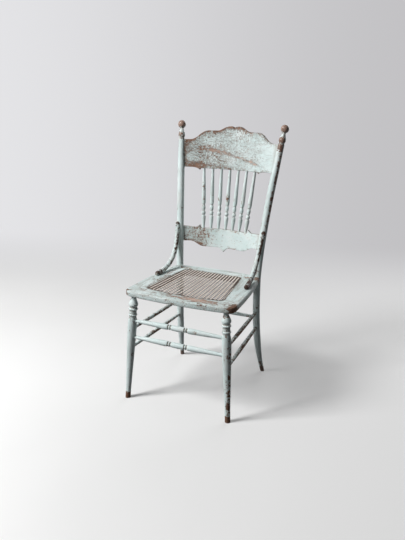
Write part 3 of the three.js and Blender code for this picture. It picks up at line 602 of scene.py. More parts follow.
class PaintFilm(Effect):
    """Old brushed paint: two tints, brush marks, dirt smears, darkening from the grime-and-shade
    layer, which holds dirt and painted shade, and yellowed broken edges.
    """

    name = "paint_film"
    inputs = (
        ("Vector", VECTOR, None),
        ("Brushed", VECTOR, None),
        ("Wear", FLOAT, 0.1),
        ("Grime", FLOAT, 0.0),
        ("Rim", FLOAT, 0.0),
        ("Dirt", FLOAT, 0.3),
        ("Crackle", FLOAT, 0.0),
    )
    outputs = (("Color", COLOUR), ("Roughness", FLOAT), ("Height", FLOAT))

    def wire(self, graph: Graph, given: dict) -> dict:
        """Wires tints, brush marks, dirt and painted shade, yellowed edges and cracks.

        Args:
            graph: Tree to wire in.
            given: The group's inputs by name.

        Returns:
            A socket for each of the group's outputs.
        """
        clouds = graph.noise(given["Vector"], 16.0, 4.0, 0.6)
        smears = graph.noise(given["Brushed"], 70.0, 5.0, 0.65, 0.6)
        brush = graph.noise(given["Brushed"], 520.0, 2.0, 0.5)
        colour = graph.ramp(clouds, PAINT_TONES)
        darkening = graph.math("MULTIPLY", graph.step(smears, 0.46, 0.66), given["Dirt"])
        # The grime-and-shade layer darkens the paint: dirt, and on some pieces painted shade on
        # edges, inner walls and grooves.
        grime_and_shade_share = graph.math("MULTIPLY", given["Grime"], graph.math("ADD", smears, 0.35))
        darkening = graph.math("MAXIMUM", darkening, grime_and_shade_share)
        colour = graph.mix(darkening, colour, SOIL_AND_SHADE)
        rim = graph.math("MULTIPLY", given["Rim"], 0.38)
        colour = graph.mix(rim, colour, YELLOWED)
        cracks = graph.noise(given["Vector"], 360.0, 3.0, 0.6, 0.4)
        cracks = graph.math("ADD", cracks, graph.math("MULTIPLY", given["Wear"], 0.4))
        cracks = graph.math("MULTIPLY", graph.step(cracks, 0.63, 0.70), given["Crackle"])
        colour = graph.mix(cracks, colour, CRACK)
        roughness = graph.between(smears, 0.40, 0.66)
        height = graph.math("SUBTRACT", graph.between(0.6, clouds, brush), cracks)
        return {"Color": colour, "Roughness": roughness, "Height": height}


# Finishes


@dataclass(frozen=True)
class Finish:
    """A finish that becomes one material."""

    name: str
    gloss: float = 0.22

    def material(self) -> bpy.types.Material:
        """The finish's material, made once.

        Returns:
            The material.
        """
        known = bpy.data.materials.get(self.name)
        if known:
            return known
        material = bpy.data.materials.new(self.name)
        material.use_nodes = True
        material.node_tree.nodes.clear()
        graph = Graph(material.node_tree)
        shader = graph.add("ShaderNodeBsdfPrincipled", {"Specular IOR Level": self.gloss})
        graph.add("ShaderNodeOutputMaterial", {"Surface": shader.outputs[0]})
        coordinates = graph.add("ShaderNodeTexCoord").outputs["Object"]
        self.wire(graph, shader, coordinates)
        return material

    def wire(self, graph: Graph, shader: Node, coordinates: Socket) -> None:
        """Feeds the shader.

        Args:
            graph: Tree to wire in.
            shader: The Principled BSDF.
            coordinates: Object coordinates, in metres.
        """
        raise NotImplementedError


@dataclass(frozen=True)
class PeelingPaint(Finish):
    """Pale mint paint that peels off old wood."""

    grain: Grain = Grain.UPRIGHT
    patch_scale: float = 60.0
    speck_scale: float = 330.0
    ragged: float = 1.0
    specks: float = 0.55
    flakes: float = 0.25
    bleach: float = 0.2
    dirt: float = 0.25
    crackle: float = 0.0
    stain: float = 0.15
    bare_rough: float = 0.82
    streak: float = 1.0

    def wire(self, graph: Graph, shader: Node, coordinates: Socket) -> None:
        """Lays the paint over the wood, with chips, stain and relief.

        Args:
            graph: Tree to wire in.
            shader: The Principled BSDF.
            coordinates: Object coordinates, in metres.
        """
        wear, grime, rub = [graph.layer(name) for name in ("wear", "grime", "rub")]
        drawn = graph.drawn(coordinates, self.grain.drawn(GRAIN_DRAW))
        torn = graph.drawn(coordinates, self.grain.drawn(self.streak))
        peel = graph.group(
            PEELING,
            {
                "Vector": torn, "Wear": wear, "Patch Scale": self.patch_scale,
                "Speck Scale": self.speck_scale, "Ragged": self.ragged,
                "Specks": self.specks, "Flakes": self.flakes,
            },
        )
        bleach = graph.math("MAXIMUM", rub, self.bleach)
        wood = graph.group(WOOD, {"Vector": drawn, "Bleach": bleach})
        film = graph.group(
            FILM,
            {
                "Vector": coordinates, "Brushed": drawn, "Wear": wear, "Grime": grime,
                "Rim": peel.outputs["Rim"], "Dirt": self.dirt, "Crackle": self.crackle,
            },
        )
        bare = peel.outputs["Bare"]
        # Bare wood darkens with its stain and with the grime-and-shade layer, which holds dirt and
        # painted shade.
        stain = graph.math("MULTIPLY", graph.math("SUBTRACT", 1.0, rub), self.stain)
        stain = graph.math("ADD", graph.math("MULTIPLY", grime, 0.7), stain)
        stained_and_shaded = graph.mix(stain, wood.outputs["Color"], WOOD_STAIN_AND_SHADE)
        colour = graph.mix(bare, film.outputs["Color"], stained_and_shaded)
        graph.feed(shader.inputs["Base Color"], colour)
        rough = graph.between(bare, film.outputs["Roughness"], self.bare_rough)
        graph.feed(shader.inputs["Roughness"], rough)
        relief = graph.math("MULTIPLY", film.outputs["Height"], 0.12)
        coat = graph.math("MULTIPLY", peel.outputs["Film"], graph.math("ADD", relief, 0.6))
        under = graph.math("MULTIPLY", wood.outputs["Height"], 0.3)
        height = graph.math("ADD", coat, graph.math("MULTIPLY", under, bare))
        graph.bump(shader, height, distance=0.0012, strength=0.7)


@dataclass(frozen=True)
class BareWood(Finish):
    """Unpainted wood of the dowels."""

    grain: Grain = Grain.ACROSS

    def wire(self, graph: Graph, shader: Node, coordinates: Socket) -> None:
        """Feeds the shader with plain wood.

        Args:
            graph: Tree to wire in.
            shader: The Principled BSDF.
            coordinates: Object coordinates, in metres.
        """
        drawn = graph.drawn(coordinates, self.grain.drawn(GRAIN_DRAW))
        wood = graph.group(WOOD, {"Vector": drawn, "Bleach": 0.35})
        graph.feed(shader.inputs["Base Color"], wood.outputs["Color"])
        shader.inputs["Roughness"].default_value = 0.8
        graph.bump(shader, wood.outputs["Height"], distance=0.0004, strength=0.6)


@dataclass(frozen=True)
class OldCane(Finish):
    """Greyed cane strands with fibres, dull gloss, and darkening that is painted shade of the
    lower strands and dirt and painted shade at the border.
    """

    def wire(self, graph: Graph, shader: Node, coordinates: Socket) -> None:
        """Feeds the shader with clouds, fibres and the darkening of the grime-and-shade layer.

        Args:
            graph: Tree to wire in.
            shader: The Principled BSDF.
            coordinates: Object coordinates, in metres.
        """
        clouds = graph.noise(coordinates, 26.0, 4.0, 0.6)
        fibres = graph.noise(coordinates, 800.0, 3.0, 0.6)
        grime = graph.layer("grime")
        tone = graph.between(0.45, clouds, fibres)
        colour = graph.ramp(tone, CANE_TONES)
        # Painted shade: the lower strands and the border are darkened through the grime-and-shade
        # layer.
        colour = graph.mix(graph.math("MULTIPLY", grime, 0.92), colour, CANE_DIRT_AND_SHADE)
        graph.feed(shader.inputs["Base Color"], colour)
        graph.feed(shader.inputs["Roughness"], graph.between(fibres, 0.45, 0.75))
        graph.bump(shader, fibres, distance=0.0002, strength=0.5)


@dataclass(frozen=True)
class RustySteel(Finish):
    """Old screws: dark steel under brown rust."""

    def wire(self, graph: Graph, shader: Node, coordinates: Socket) -> None:
        """Feeds the shader with steel under rust.

        Args:
            graph: Tree to wire in.
            shader: The Principled BSDF.
            coordinates: Object coordinates, in metres.
        """
        bloom = graph.noise(coordinates, 700.0, 5.0, 0.65)
        pits = graph.noise(coordinates, 2600.0, 2.0, 0.5)
        rust = graph.step(bloom, 0.40, 0.60)
        brown = graph.mix(pits, *RUST)
        graph.feed(shader.inputs["Base Color"], graph.mix(rust, STEEL, brown))
        graph.feed(shader.inputs["Metallic"], graph.math("SUBTRACT", 1.0, rust))
        graph.feed(shader.inputs["Roughness"], graph.between(rust, 0.45, 0.9))
        graph.bump(shader, bloom, distance=0.0003, strength=0.8)


PEELING = PeelingMask()
WOOD = OldWood()
FILM = PaintFilm()

POST_PAINT = PeelingPaint("post_paint", gloss=0.4, bleach=0.12, stain=0.42, bare_rough=0.3)
LEG_PAINT = PeelingPaint(
    "leg_paint", patch_scale=90.0, speck_scale=260.0, specks=0.85, bleach=0.1, stain=0.35
)
SPINDLE_PAINT = PeelingPaint("spindle_paint", patch_scale=80.0, stain=0.3)
CROSS_PAINT = PeelingPaint("cross_stretcher_paint", grain=Grain.ACROSS)
# Its heavy dirt is partly painted shade of the side stretchers.
SIDE_PAINT = PeelingPaint("side_stretcher_paint", grain=Grain.FORE_AND_AFT, dirt=0.75, stain=0.5)
BRACKET_PAINT = PeelingPaint(
    "bracket_paint", patch_scale=55.0, specks=0.8, dirt=0.35, stain=0.82, bare_rough=0.5
)
CREST_PAINT = PeelingPaint(
    "crackled_crest_paint", grain=Grain.ACROSS, patch_scale=45.0, speck_scale=320.0, ragged=0.5,
    specks=1.35, flakes=0.28, bleach=0.25, crackle=0.85,
)
LOWER_PAINT = PeelingPaint(
    "speckled_rail_paint", grain=Grain.ACROSS, patch_scale=45.0, speck_scale=300.0, ragged=0.45,
    specks=1.6, flakes=0.28, bleach=0.25, dirt=0.0, crackle=0.05,
)
SEAT_PAINT = PeelingPaint(
    "rubbed_seat_paint", grain=Grain.ACROSS, patch_scale=75.0, ragged=0.9, specks=1.0,
    bleach=0.25, dirt=0.4, crackle=0.35, stain=0.5, streak=2.2,
)
SEAT_SIDE_PAINT = replace(SEAT_PAINT, name="rubbed_side_paint", grain=Grain.FORE_AND_AFT)
SPLINE_PAINT = PeelingPaint("spline_paint", grain=Grain.ACROSS, bleach=0.4, dirt=0.6)
DOWEL_WOOD = BareWood("dowel_wood")
SEAT_CANE = OldCane("seat_cane")
SCREW_STEEL = RustySteel("screw_steel")


# Bench


@dataclass
class Bench:
    """Makes objects of finished meshes, in the shared frame."""

    depth_shift: float
    sharp: float = 42.0
    bit_sides: int = 24
    flare: float = 1.15

    @property
    def place(self) -> Matrix:
        """Brings the chair's millimetres to metres of the shared frame."""
        return Matrix.Scale(MM, 4) @ Matrix.Translation((0.0, self.depth_shift, 0.0))

    def deliver(self, bm: BMesh, node: str, finish: Finish) -> bpy.types.Object:
        """Brings a mesh to metres and puts it in place of its node.

        Args:
            bm: Finished mesh in millimetres. It is used up.
            node: Node that the piece stands for.
            finish: The piece's finish.

        Returns:
            The new object.
        """
        bmesh.ops.transform(bm, matrix=self.place, verts=bm.verts[:])
        for face in bm.faces:
            face.smooth = True
        mesh = bpy.data.meshes.new(f"{node}_finished")
        bm.to_mesh(mesh)
        bm.free()
        mesh.set_sharp_from_angle(angle=math.radians(self.sharp))
        mesh.materials.append(finish.material())
        piece = bpy.data.objects.new(f"{node}_finished", mesh)
        bpy.context.scene.collection.objects.link(piece)
        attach(piece, "root")
        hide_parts(node)
        log.info("%s: %d faces", piece.name, len(mesh.polygons))
        return piece

    def drill(
        self, piece: bpy.types.Object, head: Vector, along: Vector, radius: float, depth: float
    ) -> None:
        """Bores a blind hole into a piece.

        Args:
            piece: The delivered piece.
            head: Floor of the hole, in the chair's frame.
            along: Direction from the floor of the hole out of the wood.
            radius: Radius of the hole.
            depth: How far the cutter reaches out of the wood.
        """
        bm = bmesh.new()
        lift = Matrix.Translation((0.0, 0.0, depth / 2))
        bmesh.ops.create_cone(
            bm, cap_ends=True, segments=self.bit_sides, radius1=radius,
            radius2=radius * self.flare, depth=depth,
            matrix=Matrix.Translation(head) @ turn_to(along) @ lift,
        )
        bmesh.ops.transform(bm, matrix=self.place, verts=bm.verts[:])
        mesh = bpy.data.meshes.new("bit")
        bm.to_mesh(mesh)
        bm.free()
        bit = bpy.data.objects.new("bit", mesh)
        bpy.context.scene.collection.objects.link(bit)
        cut = piece.modifiers.new("hole", "BOOLEAN")
        cut.operation = "DIFFERENCE"
        cut.object = bit
        bpy.context.view_layer.update()
        graph = bpy.context.evaluated_depsgraph_get()
        drilled = bpy.data.meshes.new_from_object(piece.evaluated_get(graph))
        piece.modifiers.clear()
        piece.data = drilled
        bpy.data.objects.remove(bit)


HOLLOW_REACH = 7.0
HOLLOW_DARKENING = 0.45
PROUDEST = 2.0
DEEPEST = -1.0
WELD = 0.005


def turn_to(along: Vector) -> Matrix:
    """Turn that brings +Z to a direction."""
    return Vector((0.0, 0.0, 1.0)).rotation_difference(along).to_matrix().to_4x4()


def everything(bm: BMesh) -> list:
    """All points, edges and faces of a mesh."""
    return bm.verts[:] + bm.edges[:] + bm.faces[:]


def face_out(bm: BMesh) -> None:
    """Turns all faces of a mesh outwards."""
    bmesh.ops.recalc_face_normals(bm, faces=bm.faces[:])


def layers(bm: BMesh, *names: str) -> list:
    """Adds layers of values to the points of a mesh."""
    return [bm.verts.layers.float.new(name) for name in names]


def turn_wood(profile: Sequence[Point], sides: int, plan: WearPlan) -> BMesh:
    """Turns a piece about +Z and marks its wear.

    Args:
        profile: Radius and height of each point, from the lower to the upper end.
        sides: Number of flats round the piece.
        plan: Wear, by height and angle.

    Returns:
        A closed mesh with the layers wear and grime.
    """
    bm = bmesh.new()
    wear, grime = layers(bm, "wear", "grime")
    ends = ((0.0, profile[0][1]), (0.0, profile[-1][1]))
    outline = [ends[0], *profile, ends[1]]
    chain = []
    for radius, height in outline:
        vert = bm.verts.new((radius, 0.0, height))
        near = [r for r, h in profile if abs(h - height) < HOLLOW_REACH]
        vert[grime] = radius - sum(near) / len(near)
        chain.append(vert)
    edges = [bm.edges.new(pair) for pair in zip(chain, chain[1:])]
    bmesh.ops.spin(
        bm, geom=chain + edges, cent=(0.0, 0.0, 0.0), axis=(0.0, 0.0, 1.0), angle=math.tau,
        steps=sides, use_merge=True,
    )
    bmesh.ops.remove_doubles(bm, verts=bm.verts[:], dist=WELD)
    face_out(bm)
    for vert in bm.verts:
        proud = vert[grime]
        angle = math.degrees(math.atan2(vert.co.x, -vert.co.y))
        level = plan.level(vert.co.z, angle)
        vert[wear] = level + plan.ridge * max(DEEPEST, min(PROUDEST, proud))
        # Points in the hollows of the profile are made darker.
        vert[grime] = min(1.0, max(0.0, -proud * HOLLOW_DARKENING))
    return bm


def stand(bm: BMesh, start: Vector, end: Vector) -> None:
    """Stands a turned piece on a line, with its lower end at the start."""
    place = Matrix.Translation(start) @ turn_to(end - start)
    bmesh.ops.transform(bm, matrix=place, verts=bm.verts[:])


def bend(bm: BMesh, axis: Axis) -> None:
    """Bends a turned piece along an axis, as steam does.

    Args:
        bm: The piece, turned about +Z.
        axis: Point and direction at a height.
    """
    for vert in bm.verts:
        spot, ahead = axis(vert.co.z)
        across = (Vector((1.0, 0.0, 0.0)) - ahead * ahead.x).normalized()
        square = ahead.cross(across)
        vert.co = spot + across * vert.co.x + square * vert.co.y


def trim(bm: BMesh, point: Vector, outwards: Vector) -> None:
    """Saws off what lies beyond a plane and closes the cut.

    Args:
        bm: The piece.
        point: A point of the plane.
        outwards: Direction of what is sawn off.
    """
    cut = bmesh.ops.bisect_plane(
        bm, geom=everything(bm), dist=0.001, plane_co=point, plane_no=outwards,
        clear_outer=True,
    )
    rim = [item for item in cut["geom_cut"] if isinstance(item, bmesh.types.BMEdge)]
    bmesh.ops.holes_fill(bm, edges=rim)
    face_out(bm)


# Back posts and front legs

CREST_Z, CREST_LOW, CREST_HIGH = 852.0, 4.0, 114.5
LOWER_Z, LOWER_LOW, LOWER_HIGH = 606.0, -53.0, 10.0
FOOT_LOSS = 1.2
OVERRUN = 3.0


@dataclass
class BackPost:
    """A steam-bent post with an urn and a ball on top."""

    side: Side
    plan: WearPlan
    radius: float = 14.5
    foot_radius: float = 8.5
    top_radius: float = 12.8
    height: float = 1026.0
    seat_half: float = 175.5
    seat_depth: float = 132.0
    low_bend: float = 385.0
    low_power: float = 2.4
    high_bend: float = 430.0
    high_power: float = 1.4
    foot_out: float = 18.5
    foot_back: float = 57.0
    top_out: float = 49.5
    top_back: float = 124.0
    foot_taper: float = 190.0
    crest_z: float = CREST_Z
    ball_radius: float = 16.5
    urn: tuple[Point, ...] = ((10.8, 54.0), (14.0, 41.0), (7.0, 19.5))
    lip: float = 7.0
    bare_foot: Point = (17.0, 31.0)
    urn_fade: Point = (64.0, 52.0)
    urn_loss: float = 0.16
    urn_rub: float = 0.35
    ball_fade: Point = (18.0, 6.0)
    ball_loss: float = 0.5
    ball_rub: float = 0.2
    screw_z: float = 438.5
    screw_length: float = 46.0
    sunk: float = 2.0
    shaft_rings: int = 380
    ball_rings: int = 16
    sides: int = 28

    def axis_at(self, z: float) -> Vector:
        """Point of the post's axis at a height.

        Args:
            z: Height above the floor.

        Returns:
            The point.
        """
        low = max(0.0, (self.low_bend - z) / self.low_bend) ** self.low_power
        rise = max(0.0, (z - self.high_bend) / (self.height - self.high_bend))
        high = rise**self.high_power
        x = self.seat_half + self.foot_out * low + self.top_out * high
        y = self.seat_depth + self.foot_back * low + self.top_back * high
        return Vector((self.side.value * x, y, z))

    def axis(self, z: float) -> tuple[Vector, Vector]:
        """Point and direction of the axis; past its ends the post runs straight on.

        Args:
            z: Height above the floor.

        Returns:
            The point and the direction.
        """
        inside = min(self.height, max(0.0, z))
        ahead = (self.axis_at(inside + 0.5) - self.axis_at(inside - 0.5)).normalized()
        return self.axis_at(inside) + ahead * (z - inside), ahead

    def profile(self) -> list[Point]:
        """Radius and height from the foot to the top of the ball.

        Returns:
            Radius and height of each point.
        """
        lip = self.height - self.urn[0][1] - self.lip
        shaft = []
        for i in range(self.shaft_rings + 1):
            z = -OVERRUN + (lip + OVERRUN) * i / self.shaft_rings
            foot = ease(z, 0.0, self.foot_taper)
            top = ease(z, self.crest_z, lip)
            radius = self.foot_radius + (self.radius - self.foot_radius) * foot
            shaft.append((radius - (self.radius - self.top_radius) * top, z))
        sizes = [(radius, self.height - drop) for radius, drop in self.urn]
        ball = []
        first = -math.acos(self.urn[-1][0] / self.ball_radius)
        for i in range(self.ball_rings):
            angle = first + (math.pi / 2 - first) * i / self.ball_rings
            z = self.height + self.ball_radius * math.sin(angle)
            ball.append((self.ball_radius * math.cos(angle), z))
        return [*shaft, *dense(flowing(sizes, steps=20), step=2.0), *ball]

    def build(self, bench: Bench) -> None:
        """Turns, bends and trims the post and drives the screw that holds it to the seat.

        Args:
            bench: Bench that delivers the piece.
        """
        bm = turn_wood(self.profile(), self.sides, self.plan)
        wear = bm.verts.layers.float["wear"]
        rub = bm.verts.layers.float.new("rub")
        for vert in bm.verts:
            z = vert.co.z
            vert[wear] += FOOT_LOSS * (1.0 - ease(z, *self.bare_foot))
            ball = ease(z, *(self.height - drop for drop in self.ball_fade))
            urn = ease(z, *(self.height - drop for drop in self.urn_fade))
            vert[wear] += self.urn_loss * urn + self.ball_loss * ball
            vert[rub] = self.urn_rub * urn + self.ball_rub * ball
        bend(bm, self.axis)
        trim(bm, Vector((0.0, 0.0, 0.0)), Vector((0.0, 0.0, -1.0)))
        piece = bench.deliver(bm, f"back_post_{self.side.word}", POST_PAINT)
        head = self.axis_at(self.screw_z) + Vector((0.0, self.radius - self.sunk, 0.0))
        node, ahead = f"post_screw_{self.side.word}", -Vector((0.0, 1.0, 0.0))
        Screw().drive(bench, piece, node, head, ahead, self.screw_length)


@dataclass
class FrontLeg:
    """A turned leg with a bulb, a ring and a bead under the seat."""

    side: Side
    plan: WearPlan
    seat_under: float = 427.0
    top_half: float = 190.0
    top_depth: float = -229.0
    splay_side: float = 25.0
    splay_front: float = 27.0
    bulb: tuple[Point, ...] = ((13.5, 45.0), (18.2, 34.0), (10.5, 13.0), (10.5, 0.0))
    ring: Triple = (52.5, 5.0, 18.0)
    low_bead: Triple = (76.0, 4.5, 17.0)
    cove: Point = (14.2, 65.5)
    groove: Point = (14.0, 87.5)
    body: tuple[Point, ...] = ((17.3, 150.0), (16.2, 94.5))
    ankle: Point = (11.0, 65.0)
    foot_radius: float = 10.3
    bare_foot: Point = (17.0, 29.0)
    sides: int = 28

    def axis_at(self, z: float) -> Vector:
        """Point of the leg's axis at a height.

        Args:
            z: Height above the floor.

        Returns:
            The point.
        """
        fall = (self.seat_under - z) / self.seat_under
        x = self.top_half + self.splay_side * fall
        return Vector((self.side.value * x, self.top_depth - self.splay_front * fall, z))

    def profile(self, length: float) -> list[Point]:
        """Radius and height from the foot to the seat.

        Args:
            length: Length from end to end.

        Returns:
            Radius and height of each point.
        """
        body = [(self.foot_radius, 0.0), self.ankle]
        body += [(radius, length - drop) for radius, drop in self.body]
        bulb = [(radius, length - drop) for radius, drop in self.bulb]
        beads = []
        for drop, half, crown in (self.low_bead, self.ring):
            middle = length - drop
            beads.append(bead(middle - half, middle + half, self.cove[0], crown))
        return [
            (self.foot_radius, -OVERRUN),
            *dense(flowing(body, steps=60), step=2.5),
            (self.groove[0], length - self.groove[1]),
            *beads[0],
            (self.cove[0], length - self.cove[1]),
            *beads[1],
            *dense(flowing(bulb, steps=36), step=2.5),
            (self.bulb[-1][0], length + OVERRUN),
        ]

    def build(self, bench: Bench) -> None:
        """Turns the leg and stands it under the seat.

        Args:
            bench: Bench that delivers the piece.
        """
        foot = self.axis_at(0.0)
        top = self.axis_at(self.seat_under)
        bm = turn_wood(self.profile((top - foot).length), self.sides, self.plan)
        wear = bm.verts.layers.float["wear"]
        for vert in bm.verts:
            vert[wear] += FOOT_LOSS * (1.0 - ease(vert.co.z, *self.bare_foot))
        stand(bm, foot, top)
        trim(bm, Vector((0.0, 0.0, 0.0)), Vector((0.0, 0.0, -1.0)))
        bench.deliver(bm, f"front_leg_{self.side.word}", LEG_PAINT)


# Stretchers


@dataclass
class Stretchers:
    """Two ornamented front stretchers, four plain ones at the sides and one at the back."""

    posts: dict[Side, BackPost]
    legs: dict[Side, FrontLeg]
    tenon_stop: float = 3.0
    front_heights: Point = (327.0, 260.0)
    front_end: float = 6.4
    bow: float = 9.2
    cone: Point = (11.0, 14.0)
    cone_end: float = 10.0
    groove: Point = (6.8, 4.2)
    wall: float = 1.0
    bead: Point = (10.2, 7.6)
    barrel: Triple = (10.0, 11.3, 26.0)
    leg_radius: float = 17.3
    side_upper: Point = (292.0, 292.0)
    side_lower: Point = (214.0, 222.0)
    side_radii: Point = (6.0, 7.9)
    back_height: float = 268.0
    back_radii: Point = (6.0, 8.0)
    sides: int = 22

    def front_profile(self, length: float) -> list[Point]:
        """Cones, beads and a barrel, the same from both ends.

        Args:
            length: Length from end to end.

        Returns:
            Radius and height of each point.
        """
        middle = length / 2
        barrel = middle - self.barrel[2]
        bead_high = barrel - self.groove[1]
        bead_low = bead_high - self.bead[1]
        cone = bead_low - self.groove[1]
        root = self.leg_radius - self.tenon_stop
        sizes = [
            (self.front_end, root),
            (self.bow, (root + cone) / 2),
            (self.cone[0], cone - self.cone[1]),
            (self.cone_end, cone),
        ]
        half = [
            (self.front_end, 0.0),
            *dense(flowing(sizes, steps=42), step=3.0),
            (self.groove[0], cone + self.wall),
            *bead(bead_low, bead_high, self.groove[0], self.bead[0]),
            (self.groove[0], barrel - self.wall),
            (self.barrel[0], barrel),
        ]
        swell = flowing([(self.barrel[0], barrel), (self.barrel[1], middle)], steps=12)
        left = [*half, *swell[1:]]
        right = [(radius, length - height) for radius, height in reversed(left[:-1])]
        return left + right

    def plain_profile(self, length: float, radii: Point) -> list[Point]:
        """A rod that swells a little to its middle."""
        return dense(bead(0.0, length, radii[0], radii[1], steps=40), step=3.0)

    def fit(
        self, bench: Bench, node: str, ends: tuple[Vector, Vector], radii: Point | None,
        plan: WearPlan, finish: Finish,
    ) -> None:
        """Turns one stretcher and lets it in between two uprights.

        Args:
            bench: Bench that delivers the piece.
            node: Node that it stands for.
            ends: Points on the axes of the uprights.
            radii: End and middle radius of a plain one, or None for an ornamented one.
            plan: Its wear.
            finish: Its finish.
        """
        stop = (ends[1] - ends[0]).normalized() * self.tenon_stop
        start, end = ends[0] + stop, ends[1] - stop
        length = (end - start).length
        profile = self.plain_profile(length, radii) if radii else self.front_profile(length)
        bm = turn_wood(profile, self.sides, plan)
        stand(bm, start, end)
        bench.deliver(bm, node, finish)

    def build(self, bench: Bench) -> None:
        """Fits all seven.

        Args:
            bench: Bench that delivers the pieces.
        """
        left, right = Side.LEFT, Side.RIGHT
        words = ("upper", "lower")
        for word, height, plan in zip(words, self.front_heights, FRONT_STRETCHER_WEAR):
            ends = (self.legs[left].axis_at(height), self.legs[right].axis_at(height))
            self.fit(bench, f"front_stretcher_{word}", ends, None, plan, CROSS_PAINT)
        for side in Side:
            plan = SIDE_STRETCHER_WEAR_AND_SHADE[side]
            for word, (front, back) in zip(words, (self.side_upper, self.side_lower)):
                ends = (self.legs[side].axis_at(front), self.posts[side].axis_at(back))
                node = f"side_stretcher_{side.word}_{word}"
                self.fit(bench, node, ends, self.side_radii, plan, SIDE_PAINT)
        height = self.back_height
        ends = (self.posts[left].axis_at(height), self.posts[right].axis_at(height))
        node, plan = "back_stretcher", BACK_STRETCHER_WEAR
        self.fit(bench, node, ends, self.back_radii, plan, CROSS_PAINT)


# Back rails and spindles


@dataclass
class BackRail:
    """A bent board with a scalloped outline that leans back with the posts."""

    node: str
    post: BackPost
    plan: WearPlan
    z: float
    low: float
    high: float
    sag: float
    outline: list[Point]
    finish: Finish
    thick: float = 12.0
    edge: float = 1.8
    cell: float = 4.5
    rim_reach: float = 9.0
    back_share: float = 0.5
    back_base: float = 0.08
    joint_inset: float = 13.0
    joint_reach: float = 9.0
    joint_dirt: float = 0.55
    foot_reach: float = 6.0
    foot_dirt: float = 0.5
    seam_reach: float = 5.0
    edge_wall_dirt_and_shade: float = 0.9

    def __post_init__(self) -> None:
        """Finds the arc of the board and its lean."""
        self.span = abs(self.post.axis_at(self.z + (self.low + self.high) / 2).x)
        self.radius = (self.span**2 + self.sag**2) / (2 * self.sag)
        self.centre = self.sag - self.radius
        run = self.post.axis_at(self.z + self.high) - self.post.axis_at(self.z + self.low)
        self.lean = run.y / run.z
        self.depth = self.post.axis_at(self.z).y

    def spot(self, x: float, height: float, offset: float = 0.0) -> Vector:
        """Point of the board at a place of its outline, offset through its thickness.

        Args:
            x: Place across.
            height: Place along the height.
            offset: How far behind the middle of the board.

        Returns:
            The point.
        """
        arc = math.sqrt((self.radius + offset) ** 2 - x * x)
        y = self.depth + self.centre + arc + self.lean * height
        return Vector((x, y, self.z + height))

    def slab(self) -> BMesh:
        """The flat board with rounded edges, cut to a fine grid.

        Returns:
            The board's mesh.
        """
        bm = bmesh.new()
        front = self.edge - self.thick / 2
        verts = [bm.verts.new((x, front, height)) for x, height in self.outline]
        face = bm.faces.new(verts)
        far = bmesh.ops.extrude_face_region(bm, geom=[face])["geom"]
        moved = [item for item in far if isinstance(item, bmesh.types.BMVert)]
        through = Vector((0.0, self.thick - 2 * self.edge, 0.0))
        bmesh.ops.translate(bm, vec=through, verts=moved)
        face_out(bm)
        wide = [f for f in bm.faces if abs(f.normal.y) > 0.9 and len(f.verts) > 8]
        for broad in wide:
            self.round_over(bm, broad)
        self.grid(bm)
        return bm

    def round_over(self, bm: BMesh, broad: BMFace, steps: int = 3) -> None:
        """Rounds the border of a broad face.

        Args:
            bm: The board.
            broad: The face.
            steps: Number of flats of the round.
        """
        for i in range(steps):
            here = math.pi / 2 * i / steps
            there = math.pi / 2 * (i + 1) / steps
            inwards = self.edge * (math.cos(here) - math.cos(there))
            outwards = self.edge * (math.sin(there) - math.sin(here))
            bmesh.ops.inset_region(
                bm, faces=[broad], thickness=inwards, depth=outwards, use_even_offset=True
            )

    def grid(self, bm: BMesh) -> None:
        """Cuts the board across and along, so that it bends and wears evenly.

        Args:
            bm: The board.
        """
        xs = [x for x, _ in self.outline]
        heights = [height for _, height in self.outline]
        for axis, low, high in ((0, min(xs), max(xs)), (2, min(heights), max(heights))):
            normal = Vector((0.0, 0.0, 0.0))
            normal[axis] = 1.0
            count = int((high - low) / self.cell)
            for i in range(1, count):
                point = normal * (low + (high - low) * i / count)
                bmesh.ops.bisect_plane(
                    bm, geom=everything(bm), dist=0.02, plane_co=point, plane_no=normal
                )

    def build(self, bench: Bench, spindle_spots: Sequence[float]) -> None:
        """Saws, wears and bends the board.

        Args:
            bench: Bench that delivers the piece.
            spindle_spots: Where the spindles meet its edge.
        """
        bm = self.slab()
        wear, grime, rub = layers(bm, "wear", "grime", "rub")
        rim = [Vector(point) for point in self.outline]
        for vert in bm.verts:
            x, offset, height = vert.co
            place = Vector((x, height))
            border = min((place - point).length for point in rim)
            level = self.plan.level(x, height, about=False)
            level += self.plan.edge * fade(border, self.rim_reach)
            if offset > 0:
                level = self.back_share * level + self.back_base
            vert[wear] = level
            vert[rub] = self.plan.rub(x, height)
            joint = fade(abs(x) - self.span + self.joint_inset, self.joint_reach)
            foot = max(fade(x - spot, self.foot_reach) for spot in spindle_spots)
            seam = fade(min(abs(height), border), self.seam_reach)
            # The thickness edges are darkened all round: dirt, and painted shade of the edges that
            # face away from the light.
            wall = self.edge_wall_dirt_and_shade if abs(offset) < self.thick / 2 - self.edge + 0.1 else 0.0
            dirt = self.joint_dirt * joint + self.foot_dirt * foot * seam + wall
            vert[grime] = min(1.0, dirt)
            vert.co = self.spot(x, height, offset)
        face_out(bm)
        bench.deliver(bm, self.node, self.finish)


def crest_outline(post: BackPost) -> list[Point]:
    """Outline of the crest rail, with heights above its lower edge.

    Args:
        post: A post that the rail ends in.

    Returns:
        The closed outline.
    """
    half = Outline([(0.0, 161.5)])
    half.bow_to(0.0, 170.5, 18.0, 170.5)
    half.sweep_to(78.0, 151.5)
    half.line_to(109.0, 151.5)
    half.sweep_to(185.0, CREST_HIGH)
    half.line_to(abs(post.axis_at(CREST_Z + CREST_HIGH).x), CREST_HIGH)
    half.line_to(abs(post.axis_at(CREST_Z + CREST_LOW).x), CREST_LOW)
    half.line_to(168.0, CREST_LOW)
    half.bow_to(140.0, CREST_LOW, 129.0, -6.5)
    half.bow_to(129.0, 0.0, 118.0, 0.0)
    half.line_to(0.0, 0.0)
    return half.whole()


